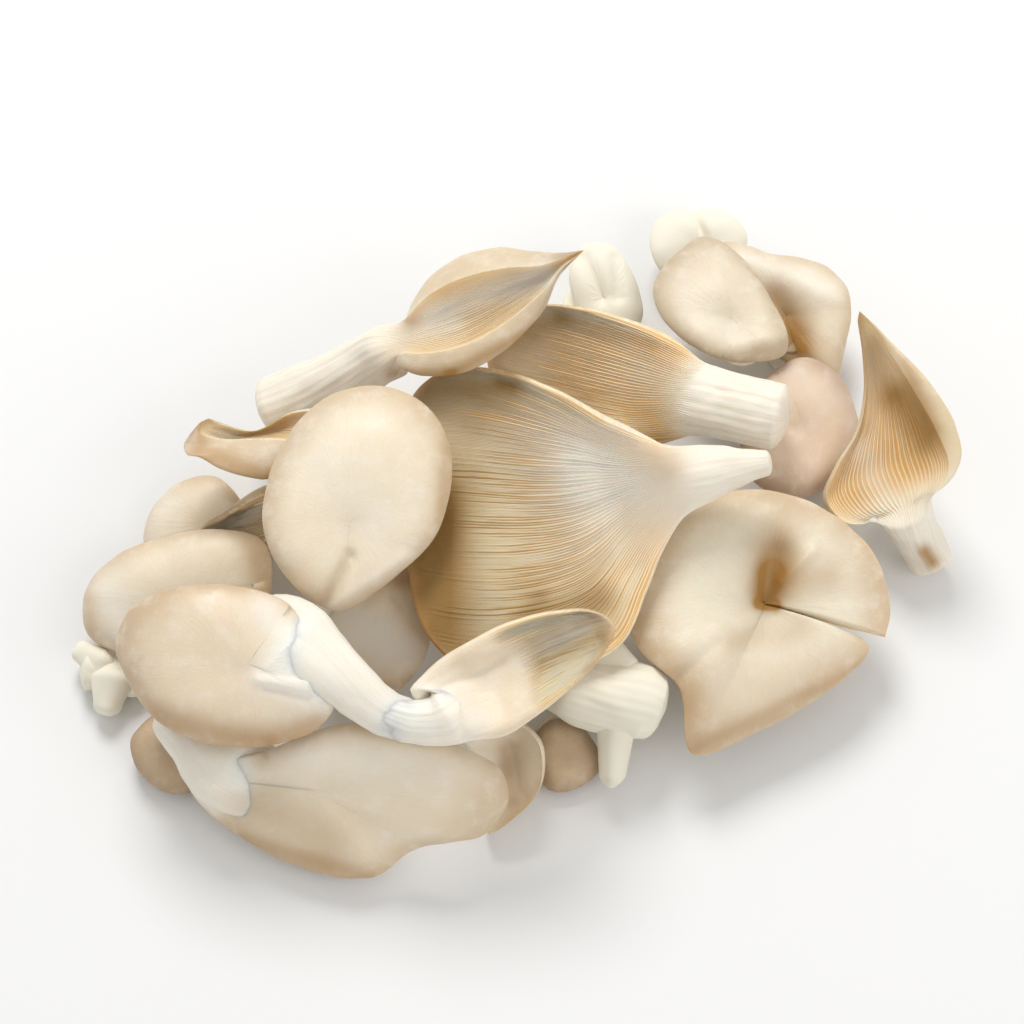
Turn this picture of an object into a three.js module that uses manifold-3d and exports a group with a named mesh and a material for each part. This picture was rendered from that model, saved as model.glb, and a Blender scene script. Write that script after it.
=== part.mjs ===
// Oyster mushrooms heaped in a loose cluster: smooth caps, gilled fans and short off-centre stems.
//
// X runs to the heap's right, Y to its back and Z up, in millimetres. The heap lies on the plane z = 0
// and the origin is under the middle of its outline.
// Every mushroom is one solid: a sheet of flesh with gills on one face, and a stem grown into it. A
// round cap arches from its crown to its rim. A fan is spread from the end of its stem, gills up.
import * as THREE from "three";
import { mergeVertices } from "three/addons/utils/BufferGeometryUtils.js";
import Module from "manifold-3d";

const wasm = await Module();
wasm.setup();

// Driving dimensions: flesh half as thick at the edge, flesh at the crown, and gills
const HALF_EDGE = 1.0;
const CROWN_FLESH = 5.0;
const GILL_DEPTH = 1.0;
const FULL_GILL_WIDTH = 2.4;
const GILL_FADE_AT_RIM = 0.06;
const GILL_START_SPAN = 0.15;
// The rounded lip's width as a share of the edge's half thickness, and the slit's widest margin
const LIP_ROUNDING = 1.3;
const WIDEST_MARGIN = 0.06;
const GILL_FREE_SIDE = 0.05;
// Fans: the stem end's bend and its greatest share of the chord, the flare there, the arc across and
// half that arc in degrees where the sides do not bulge
const CHORD_BEND = 0.5;
const JOINT_SHARE = 0.45;
const STEM_FLARE = 6.0;
const OVAL_TO = 0.35;
const BOWL_START = 0.35;
const BULGE_PLACE = 0.2;
const BREADTH_SHARE = 0.35;
const FAN_ROLL = 60;
// Troughs: the least fullness of the lip, how soon they are at full depth, and the wall below
const LEAST_BULGE = 0.8;
const TROUGH_START = 0.3;
const TROUGH_LEAST = 0.35;
const TROUGH_WALL = 2.5;
// Facets
const ROWS = 5;
const ROW_CROWDING = 0.9;
const STEM_ROWS = 3;
const STEM_SIDES = 10;
const DOME_TURNS = [0, 0.45, 0.8];
const DOME_REACH = 0.5;
const KNOB_RINGS = 2;
const KNOB_SIDES = 7;
const KNOB_MERGE = 0.001;
// Half way from crown to rim or from side to side, and steps for the slopes of the surfaces
const MIDWAY = 0.5;
const DIFFERENCE_STEP = 0.004;
const RIM_STEP = 0.005;
const SETTLE_STEPS = 40;
const NORMAL_BIAS = 0.0005;
// The heap is seen from above its front edge; smooth faces turn to that side, and gills up turn there
const FRONT_TOP = new THREE.Vector3(0, -0.438, 0.899);

// The middle of the heap's outline, as the mushrooms are placed
const HEAP_MIDDLE = [0.76, -6.14];

// Flesh has a soft satin surface
const FLESH_ROUGHNESS = 0.55;
const COLOURS = {
  cream: 0xe9dcc0,
  greige: 0xcdbb9c,
  gill: 0xe6cf9b,
  white: 0xf0e9d8,
};

// Small cap low down at the left end
const capShaded = {
  name: "cap_shaded",
  colour: COLOURS.greige,
  place: [-71, -58, -0.1],
  gills: 8,
  crown: [1, 1.5, 6],
  stem: [
    [3, 6.5, 0, 3.5], [2.5, 6.5, 2.5, 4], [2, 5.5, 5.5, 4.5],
  ],
  rim: [
    [0.5, 8.5, 6, -30], [-3.5, 8, 5.5, -50], [-8, 3, 5, -50], [-6.5, -3, 4, -50], [-1, -7.5, 3, -50],
    [5, -7.5, 3, -50], [9, -2.5, 4, -40], [7, 4.5, 5.5, -30],
  ],
};

// Pale cap at the back of the left end
const capLeftBack = {
  name: "cap_left_back",
  colour: COLOURS.cream,
  place: [-68, -6, 0],
  gills: 8,
  crown: [4, -1, 7],
  stem: [
    [13.5, -3.5, 0, 3.5], [12.5, -3.5, 4, 4], [10, -2.5, 7, 4.5],
  ],
  rim: [
    [10.5, 1.5, 9, -30], [3.5, 10, 9, -50], [-5.5, 8.5, 7, -60], [-11, 1.5, 5, -60],
    [-10.5, -6.5, 4, -50], [0.5, -9.5, 4, -40], [9.5, -6.5, 6, -30],
  ],
};

// Thin gilled mushroom on its back beside it
const wedge = {
  name: "wedge",
  colour: COLOURS.gill,
  place: [-54.7, -10.4, 2.9],
  gillsUp: true,
  gills: 10,
  depth: 3,
  corners: [0.33, 0.62],
  stem: [
    [15, 5, 12, 3.2], [12, 4, 13, 3.9], [9, 3, 14, 4.5],
  ],
  rim: [
    [7.5, 6, 17, -30], [3, 5.5, 18, -40], [-4, 2, 16, -50], [-11.5, -1, 12, -50],
    [-6.5, -4.5, 11, -40], [3, -5, 11, -30], [9, -1, 12, -20],
  ],
};

// Knobbly cut base at the left edge
const stub = {
  name: "stub",
  colour: COLOURS.white,
  place: [-80, -42, -0.1],
  gills: 8,
  depth: 1,
  flesh: 3.5,
  crown: [-0.5, 0, 4],
  corners: [0.3, 0.7],
  stem: [
    [-10, 2.5, 4.5, 4.4], [-6.5, 2.5, 4, 4], [-2, 1.5, 3, 3.9],
  ],
  rim: [
    [-1.5, 3.5, 4, -30], [1.5, 2, 4, -40], [2.5, -0.5, 3.5, -50], [1, -3, 3.5, -50],
    [-2, -2.5, 3.5, -30],
  ],
  lobes: [
    { from: [-4.5, -1, 5], to: [-5, -4.5, 4], radius: 3 },
    { from: [-10.5, 6, 5], to: [-7.5, 4, 5], radius: 2.8 },
  ],
};

// Broad cap at the left end
const capLeft = {
  name: "cap_left",
  colour: COLOURS.cream,
  place: [-70.9, -25.4, 0.8],
  gills: 12,
  crown: [3, -2, 14],
  stem: [
    [7, -3, 0, 4.5], [8, -3, 6, 5], [8.5, -3, 13, 5.5],
  ],
  rim: [
    [20.5, 2, 14, -20], [18, 10.5, 16, -40], [8, 12.5, 17, -50], [-3.5, 11.5, 15, -50],
    [-13.5, 8, 12, -60], [-19.5, 1.5, 8, -70], [-19, -6.5, 6, -60], [-10, -12, 7, -50],
    [3.5, -14, 8, -40], [14, -13, 9, -30],
  ],
};

// Small brownish cap at the front
const capBrown = {
  name: "cap_brown",
  colour: COLOURS.greige,
  place: [11, -57.7, -0.8],
  gills: 8,
  crown: [0, 0.5, 5.5],
  stem: [
    [-0.5, 3.5, 0, 3.5], [-0.5, 3.5, 2, 4], [-0.5, 3, 5.5, 4.5],
  ],
  rim: [
    [-3, 6.5, 6, -40], [-6.5, 2.5, 5, -50], [-6, -3, 3.5, -50], [-3, -7.5, 3, -50], [3, -7, 3, -50],
    [7.5, -3, 4, -50], [6, 2, 5, -50], [2, 6.5, 6, -40],
  ],
};

// Cap curled up on itself at the front
const curlBottom = {
  name: "curl_bottom",
  colour: COLOURS.cream,
  place: [-1, -64.7, -0.9],
  gillsUp: true,
  gills: 10,
  trough: true,
  depth: 3,
  gillsFrom: 0.8,
  corners: [0.55, 0.62],
  stem: [
    [-10, 10.5, 6, 3.2], [-8, 9, 6.5, 3.6], [-6, 7.5, 7, 4],
  ],
  rim: [
    [-3.5, 9, 10, -60], [1.5, 10.5, 12, -90, 0.5], [6.5, 6, 12, -110, 1], [6.5, -3, 10, -110, 1],
    [1, -8.5, 7, -100, 0.5], [-3.5, -10.5, 5, -60], [-4, -3, 4, -30], [-5, 2.5, 5, -20],
  ],
};

// Long low cap along the front
const capBottom = {
  name: "cap_bottom",
  colour: COLOURS.cream,
  place: [-30.8, -71.2, 3.1],
  gills: 14,
  flat: 0.6,
  crown: [-8.5, 1, 13.5],
  stem: [
    [-41.5, 17.5, 9, 2.5], [-33, 11, 12, 6.5], [-25.5, 5.5, 12, 9],
  ],
  rim: [
    [-19.5, 7.5, 17, -20], [-12, 9.5, 20, -40], [-2, 12, 21, -50], [10.5, 10.5, 21, -50],
    [21.5, 7.5, 19, -50], [28.5, 4, 16, -60], [30, -1, 12, -60], [25, -6, 7, -60],
    [14, -7.5, 4.5, -50], [9, -9.5, 3, -50], [2.5, -13.5, 1, -50], [-10.5, -12, 1, -50],
    [-23, -6.5, 2.5, -50], [-32.5, 1.5, 5, -40], [-35, 6.5, 9, -20],
  ],
};

// White cap at the back
const capTopWhite = {
  name: "cap_top_white",
  colour: COLOURS.white,
  place: [22, 49.9, 0.2],
  gills: 10,
  rise: 0.2,
  crown: [-1.5, -1.5, 10.5],
  stem: [
    [-2.5, -4, 0, 4], [-3.5, -3.5, 4.5, 5], [-4.5, -3.5, 10, 6],
  ],
  rim: [
    [-9, 3, 13, -40], [-5.5, 10, 14, -50], [0.5, 10, 13, -50], [5, 4, 11, -50], [7, -4.5, 8, -50],
    [4, -10.5, 6, -40], [-2.5, -12.5, 6, -30],
  ],
};

// Two-lobed cap at the back right corner
const capBilobed = {
  name: "cap_bilobed",
  colour: COLOURS.white,
  place: [42, 66.1, -0.1],
  gills: 12,
  crown: [0.5, -2, 8.5],
  stem: [
    [2.5, -8, 0, 4.5], [2, -7.5, 4.5, 5.5], [1.5, -6.5, 8, 6.5],
  ],
  rim: [
    [-6.5, -10.5, 8, -30], [-10, -5.5, 9, -60], [-9.5, 2.5, 9, -60], [-4.5, 6.5, 9, -60],
    [-0.5, 6.5, 8, -60], [3.5, 6.5, 9, -60], [9, 4, 9, -60], [11.5, -0.5, 8, -50], [8.5, -7, 8, -30],
  ],
};

// Pale cap with a hollow at the back right
const capRightBack = {
  name: "cap_right_back",
  colour: COLOURS.cream,
  place: [63.9, 43.8, 0.4],
  gills: 10,
  rise: 0.3,
  crown: [-3, -0.5, 11],
  stem: [
    [-1, -5, 0, 4.5], [-1.5, -4, 4, 5.2], [-2, -3.5, 10, 6],
  ],
  rim: [
    [-9, -7, 12, 0], [-13.5, 1, 15, -10], [-16.5, 15.5, 16, -30], [-6, 12.5, 16, -40],
    [5, 10.5, 15, -50], [10.5, 5.5, 14, -50], [11.5, -1, 12, -50], [9.5, -10, 10, -50],
    [7.5, -16.5, 8, -40], [1.5, -13.5, 7, -20],
  ],
};

// Round cap at the right
const capPink = {
  name: "cap_pink",
  colour: COLOURS.greige,
  place: [63.8, 15.2, 1.4],
  gills: 12,
  crown: [-1, 0, 12],
  stem: [
    [-1, 4, 0, 4], [-1.5, 3.5, 5, 4.5], [-2, 2.5, 12.5, 5],
  ],
  rim: [
    [-6.5, 11, 15, -30], [-12.5, 1.5, 15, -50], [-14, -9, 11, -50], [-9, -14.5, 8, -50],
    [-0.5, -15.5, 7, -50], [8, -10, 6, -50], [12, -0.5, 7, -50], [11, 7, 9, -50], [6.5, 13.5, 12, -40],
    [0.5, 15, 14, -30],
  ],
};

// Mushroom on its side at the right end, gills to the front
const halfRight = {
  name: "half_right",
  colour: COLOURS.gill,
  place: [79.6, 8.6, 8.2],
  gillsUp: true,
  gills: 16,
  trough: true,
  depth: 5,
  corners: [0.465, 0.495],
  stem: [
    [11, -22.5, -4, 4.8], [6.5, -17.5, 3, 5.2], [3, -15, 10, 6.5],
  ],
  rim: [
    [7, -16.5, 14, -60, 1], [10.5, -15, 17, -100, 2], [12, -10.5, 19, -110, 3.5],
    [9.5, -3.5, 21, -110, 5], [5, 5, 23, -110, 5], [1, 13.5, 23, -110, 3.5],
    [-2.5, 21.5, 22, -100, 1.5], [-5, 26.5, 19, -60], [-3.5, 20.5, 15, -40], [-3, 11, 12, -30],
    [-5, 2, 10, -30], [-9.5, -5.5, 8, -30], [-12, -12, 5, -30], [-8, -17, 4, -20], [-1, -18, 6, -20],
  ],
};

// Oval cap at the back right
const capOvalRight = {
  name: "cap_oval_right",
  colour: COLOURS.cream,
  place: [46.1, 40.8, -1.3],
  gills: 12,
  crown: [1.5, -4, 22.5],
  stem: [
    [5, -7, 13, 3.2], [4.5, -7.5, 16.5, 3.6], [4, -9.5, 22, 4],
  ],
  rim: [
    [-0.5, -14, 22, -30], [-7.5, -10, 22, -50], [-13.5, -1.5, 20, -50], [-14.5, 6.5, 19, -50],
    [-9.5, 14.5, 19, -50], [-3, 19, 19, -50], [3.5, 14, 21, -50], [9.5, 3.5, 22, -50],
    [13.5, -8, 22, -50], [13, -12.5, 22, -50], [8, -14.5, 22, -30],
  ],
};

// Thick knobbly stem at the front
const stemKnob = {
  name: "stem_knob",
  colour: COLOURS.white,
  place: [2.9, -44.3, 3.2],
  gills: 8,
  trough: true,
  depth: 3,
  crown: [3.5, -1, 9.5],
  corners: [0.5, 0.62],
  stem: [
    [26, -6, 9, 7.4], [23.5, -5.5, 10, 8], [15.5, -4.5, 11, 7.5], [5.5, -1, 10, 7],
  ],
  rim: [
    [7, 1.5, 12, -30], [1, 5.5, 11, -40], [-4, 3, 9, -40], [-4, -3, 8, -40], [2, -5, 8, -30],
  ],
  lobes: [
    { from: [18.5, -11, 8], to: [18, -19, 3.5], radius: 2.8 },
    { from: [16.5, 3, 14], to: [20, 0, 14], radius: 3.2 },
  ],
};

// Wide cap split from its navel to the right edge
const capSplit = {
  name: "cap_split",
  colour: COLOURS.cream,
  place: [53.8, -31, 2.2],
  gills: 18,
  split: true,
  rise: 0.5,
  crown: [-1, 3, 11],
  stem: [
    [1, -0.5, 0, 5.2], [0, 1, 6, 5], [-1, 3.5, 10.5, 4.5],
  ],
  rim: [
    [24, -5, 12, -10], [25.5, 1, 12, -20], [23, 11.5, 15, -20], [17, 18.5, 17, -20],
    [7, 24.5, 18, -20], [-4.5, 26, 19, -20], [-16.5, 22, 20, -20], [-26, 12.5, 20, -20],
    [-30.5, 0.5, 19, -20], [-28, -10, 18, -20], [-19.5, -18, 16, -20], [-17, -30, 10, -20],
    [-4.5, -25.5, 9, -20], [10, -17.5, 10, -20], [20.5, -7.5, 11, -20], [19, -5, 12, -10],
  ],
};

// Warm white cap under the middle
const capCentre = {
  name: "cap_centre",
  colour: COLOURS.cream,
  place: [-27.2, -34.9, -2.4],
  gills: 10,
  crown: [-3, 1, 18.5],
  stem: [
    [-9, 6.5, 2, 4], [-8.5, 7, 8.5, 5], [-8, 6.5, 16.5, 6],
  ],
  rim: [
    [-3.5, 12, 19, -30], [5.5, 14, 20, -50], [10.5, 9, 18, -50], [10.5, 1, 16, -50],
    [7, -7.5, 13, -50], [0.5, -12.5, 12, -50], [-7.5, -11.5, 12, -50], [-13, -5.5, 13, -40],
    [-12.5, 2.5, 15, -30],
  ],
};

// Gilled fan at the back, stem to the right
const fanUpper = {
  name: "fan_upper",
  colour: COLOURS.gill,
  place: [17.2, 24.4, -4.3],
  gillsUp: true,
  gills: 20,
  flat: 0.8,
  depth: 5,
  corners: [0.36, 0.66],
  stem: [
    [39.5, -14.5, 30, 7], [30, -11.5, 29, 7.3], [22, -8, 27, 8],
  ],
  rim: [
    [25, -1.5, 29, -20], [17, 5, 30, -50], [8.5, 9, 30, -70], [-2.5, 12.5, 30, -80],
    [-12, 13.5, 29, -80], [-20.5, 9, 26, -60], [-22.5, 2.5, 22, -40], [-15.5, -5, 20, -30],
    [-4.5, -11.5, 20, -20], [10.5, -16.5, 21, -10], [21, -16, 24, 0],
  ],
};

// Largest gilled fan, over the middle, stem to the right
const fanLarge = {
  name: "fan_large",
  colour: COLOURS.gill,
  place: [5.8, -14.7, 7.3],
  gillsUp: true,
  gills: 28,
  flat: 0.8,
  depth: 7,
  corners: [0.25, 0.66],
  stem: [
    [47, 9, 28, 2.5], [41, 8.5, 27, 4.2], [32.5, 7, 26, 6.5],
  ],
  rim: [
    [27, 12, 28, -20], [14.5, 17.5, 30, -60], [4, 23.5, 31, -70], [-8.5, 29.5, 30, -75],
    [-20.5, 31.5, 26, -75], [-27.5, 26.5, 22, -60], [-29, 11, 20, -40], [-27.5, -9.5, 19, -30],
    [-23, -25.5, 17, -20], [-12.5, -33.5, 16, -10], [4, -33.5, 17, -10], [16.5, -27.5, 19, -10],
    [21.5, -17, 21, -10], [25.5, -8, 23, -10], [31, 0.5, 25, 0],
  ],
};

// Cap rolled in over its gills, stem down to the left
const curlTop = {
  name: "curl_top",
  colour: COLOURS.greige,
  place: [-5.9, 27.5, 2.6],
  gillsUp: true,
  gills: 16,
  trough: true,
  depth: 7,
  corners: [0.465, 0.485],
  stem: [
    [-46.5, -10, 12, 7.2], [-33.5, -6.5, 17, 6.6], [-23.5, -4, 24, 6], [-17.5, -4.5, 31, 6],
  ],
  rim: [
    [-17.5, -1, 34, -40, 2], [-11.5, 3, 39, -100, 4.5], [-4, 5.5, 42, -110, 6],
    [4.5, 6.5, 44, -110, 6.5], [12, 6, 46, -110, 5], [21, 9, 47, -90, 0.5], [16, 4.5, 47, -110, 3.5],
    [12, -0.5, 46, -110, 5], [4, -7, 44, -110, 6], [-4.5, -10.5, 41, -110, 6],
    [-13.5, -10, 37, -105, 5], [-18.5, -7.5, 34, -80, 3.5],
  ],
};

// Pointed cap on its side, rolled in, at the left
const curlLeft = {
  name: "curl_left",
  colour: COLOURS.greige,
  place: [-54.8, 6.8, 2.3],
  gillsUp: true,
  gills: 12,
  trough: true,
  depth: 5,
  corners: [0.47, 0.51],
  stem: [
    [25, -5, 12, 3.6], [19, -4.5, 17, 4.4], [13, 0, 22.5, 4.2],
  ],
  rim: [
    [13.5, 4.5, 24, -20], [7.5, 3.5, 24, -40], [0, 0, 23, -60], [-7, 1.5, 23, -70, 1],
    [-10.5, 2, 25, -80, 1], [-11, -1.5, 25, -100, 8], [-7, -3.5, 26, -100, 12],
    [-0.5, -3.5, 26, -100, 13], [6, -3.5, 26, -100, 12], [11.5, -4, 25, -80, 8],
  ],
};

// Smooth oval cap on top
const capOval = {
  name: "cap_oval",
  colour: COLOURS.cream,
  place: [-31.7, -13.7, 3.5],
  gills: 14,
  crown: [-1, -6, 33],
  stem: [
    [-4, -10.5, 15, 2.8], [-4, -11.5, 20, 3.4], [-3.5, -15, 30, 4],
  ],
  rim: [
    [-9.5, -21, 27, -30], [-16.5, -13, 29, -50], [-19, -2.5, 31, -50], [-16, 10, 33, -50],
    [-8.5, 20, 35, -50], [1.5, 23.5, 36, -50], [12, 20.5, 36, -50], [18.5, 12, 34, -50],
    [19, 1.5, 32, -50], [15.5, -9, 30, -50], [7, -17, 28, -50], [-3, -23, 26, -30],
  ],
};

// Broad smooth cap on top at the left, joined at the stem to the next
const capBigLeft = {
  name: "cap_big_left",
  colour: COLOURS.cream,
  place: [-57.7, -49.7, 6.4],
  gills: 14,
  flat: 0.5,
  crown: [5.5, -0.5, 28],
  stem: [
    [43, -11.5, 24, 3.4], [37.5, -11.5, 24.5, 4.3], [32.5, -10, 25, 4.6], [24.5, -4, 28, 5.4],
    [15, 4, 28.5, 8],
  ],
  rim: [
    [13.5, 10.5, 31, -20], [3, 14.5, 31, -50], [-8.5, 15, 30, -60], [-18, 13, 26, -60],
    [-22, 7, 22, -60], [-19, -2, 20, -60], [-12.5, -9.5, 19, -60], [-2, -14, 19, -60],
    [8, -15, 20, -60], [17.5, -12, 21, -60], [21, -7, 23, -50], [19, -5, 25, -30],
  ],
};

// Small cap rolled in over its gills, joined at the stem to the one before
const curlSmall = {
  name: "curl_small",
  colour: COLOURS.cream,
  place: [-0.7, -52.7, 6.4],
  gillsUp: true,
  gills: 14,
  depth: 5,
  gillsFrom: 0.5,
  corners: [0.5, 0.68],
  stem: [
    [-24.5, -7, 25, 3.4], [-19.5, -8.5, 24.5, 4.4], [-14.5, -8.5, 24.5, 5], [-10.5, -7, 25, 6.5],
  ],
  rim: [
    [-15, -5.5, 27, -40], [-19.5, -3.5, 28, -60], [-16.5, -0.5, 29, -80], [-9.5, 4, 31, -90],
    [-0.5, 8.5, 33, -100], [10.5, 11, 34, -100], [18.5, 10.5, 34, -100], [21, 7.5, 34, -100],
    [17, 1, 32, -90], [8, -7, 30, -80], [-1.5, -12, 27, -70], [-8.5, -13, 25, -40],
  ],
};

// A list of values read at 0..1, straight between neighbours
function along(values, t) {
  const place = THREE.MathUtils.clamp(t, 0, 1) * (values.length - 1);
  const index = Math.min(Math.floor(place), values.length - 2);
  return THREE.MathUtils.lerp(values[index], values[index + 1], place - index);
}

// What is left of a vector when its share along a unit direction is taken off
function across(vector, direction) {
  return vector.clone().addScaledVector(direction, -vector.dot(direction));
}

function share(value) {
  return THREE.MathUtils.clamp(value, 0, 1);
}

// How full a rounded lip is at a share of its width in from the edge
function rounded(inward) {
  return Math.sqrt(1 - (1 - share(inward)) ** 2);
}

function toVector(values) {
  return new THREE.Vector3(values[0], values[1], values[2]);
}

// Points weighted and added up
function blend(...pairs) {
  return pairs.reduce((sum, [point, weight]) => sum.addScaledVector(point, weight), new THREE.Vector3());
}

// A sheet of flesh about a middle surface. u runs from 0 at the crown or stem to 1 at the rim, and
// "at" from 0 to 1 round the crown, or from one side of a fan to the other.
class Sheet {
  constructor(plan, closed) {
    const usual = { flat: 1, rise: 0, pull: 1, depth: 0, gillsFrom: 0, roll: FAN_ROLL, flesh: CROWN_FLESH };
    this.plan = { ...usual, ...plan };
    this.closed = closed;
    this.rim = new THREE.CatmullRomCurve3(plan.rim.map(toVector), closed, "centripetal");
    const corners = closed ? [...plan.rim, plan.rim[0]] : plan.rim;
    this.curls = corners.map((corner) => THREE.MathUtils.degToRad(corner[3]));
    this.bulges = corners.map((corner) => corner[4] ?? 0);
    this.smooth = FRONT_TOP.clone().multiplyScalar(plan.gillsUp ? -1 : 1);
  }

  // Called when the middle surface is ready: its reach, and which way its smooth face lies
  settle() {
    this.reach = 0;
    this.sign = 1;
    let towardsSmooth = 0;
    for (let step = 0; step <= SETTLE_STEPS; step += 1) {
      const at = step / SETTLE_STEPS;
      this.reach = Math.max(this.reach, this.length(at));
      towardsSmooth += this.tilt(MIDWAY, at).dot(this.smooth);
    }
    this.sign = Math.sign(towardsSmooth);
  }

  // A place on the rim, going round again on a closed one
  place(at) {
    return this.closed ? THREE.MathUtils.euclideanModulo(at, 1) : share(at);
  }

  rimPoint(at) {
    return this.rim.getPointAt(this.place(at));
  }

  rimValue(values, at) {
    return along(values, this.rim.getUtoTmapping(this.place(at)));
  }

  // The change of the middle surface per unit of "at"
  sideways(u, at) {
    const before = this.closed ? at - DIFFERENCE_STEP : Math.max(at - DIFFERENCE_STEP, 0);
    const after = this.closed ? at + DIFFERENCE_STEP : Math.min(at + DIFFERENCE_STEP, 1);
    return this.middle(u, after).sub(this.middle(u, before)).divideScalar(after - before);
  }

  // Square to the middle surface, as long as the surface is stretched there
  tilt(u, at) {
    const before = Math.max(u - DIFFERENCE_STEP, 0);
    const after = Math.min(u + DIFFERENCE_STEP, 1);
    const outwards = this.middle(after, at).sub(this.middle(before, at)).divideScalar(after - before);
    return this.sideways(u, at).cross(outwards);
  }

  normal(u, at) {
    const bias = this.smooth.clone().multiplyScalar(NORMAL_BIAS * this.reach ** 2);
    return this.tilt(u, at).multiplyScalar(this.sign).add(bias).normalize();
  }

  // The share of the way to the rim that the rounded lip takes
  lip(at) {
    return (HALF_EDGE * LIP_ROUNDING) / this.length(at);
  }

  // Half the thickness of plain flesh, thinner towards the rim and round at its lip
  flesh(u, at) {
    const half = HALF_EDGE + (this.plan.flesh / 2 - HALF_EDGE) * (1 - u ** 2);
    return half * rounded((1 - u) / this.lip(at));
  }

  // How far a gill stands out below
  gill(u, at) {
    const { gills, gillsFrom } = this.plan;
    const place = at * gills;
    const crest = Math.abs(2 * (place - Math.floor(place)) - 1);
    const spacing = this.sideways(u, at).length() / gills;
    let room = share(spacing / FULL_GILL_WIDTH) * share((1 - u) / GILL_FADE_AT_RIM);
    if (gillsFrom > 0) {
      room *= share((u - gillsFrom) / GILL_START_SPAN);
    }
    if (!this.closed) {
      room *= share(Math.min(at, 1 - at) / GILL_FREE_SIDE);
    }
    return GILL_DEPTH * crest * room;
  }

  // The points below and above the middle surface
  pair(u, at) {
    const middle = this.middle(u, at);
    const normal = this.normal(u, at);
    const half = this.half(u, at);
    const below = middle.clone().addScaledVector(normal, -half - this.gill(u, at));
    return [below, middle.addScaledVector(normal, half)];
  }
}

// A round cap: lines arch from its crown to its rim. A split cap's lines stop at both edges of the slit.
class Cap extends Sheet {
  constructor(plan) {
    super(plan, !plan.split);
    this.crown = toVector(plan.crown);
    this.around = this.rim.getLength();
    this.settle();
  }

  length(at) {
    return this.rimPoint(at).distanceTo(this.crown);
  }

  middle(u, at) {
    const rim = this.rimPoint(at);
    const line = rim.clone().sub(this.crown);
    const reach = line.length();
    const out = across(line, this.smooth).normalize();
    const curl = this.rimValue(this.curls, at);
    const start = out.clone().addScaledVector(this.smooth, this.plan.rise);
    const end = out.clone().multiplyScalar(Math.cos(curl)).addScaledVector(this.smooth, Math.sin(curl));
    return blend(
      [this.crown, 2 * u ** 3 - 3 * u ** 2 + 1],
      [start, reach * (u ** 3 - 2 * u ** 2 + u)],
      [rim, 3 * u ** 2 - 2 * u ** 3],
      [end, reach * this.plan.pull * (u ** 3 - u ** 2)],
    );
  }

  half(u, at) {
    if (this.closed || u === 0) {
      return this.flesh(u, at);
    }
    const margin = Math.min((HALF_EDGE * LIP_ROUNDING) / (this.around * u), WIDEST_MARGIN);
    return this.flesh(u, at) * rounded(Math.min(at, 1 - at) / margin);
  }
}

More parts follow.
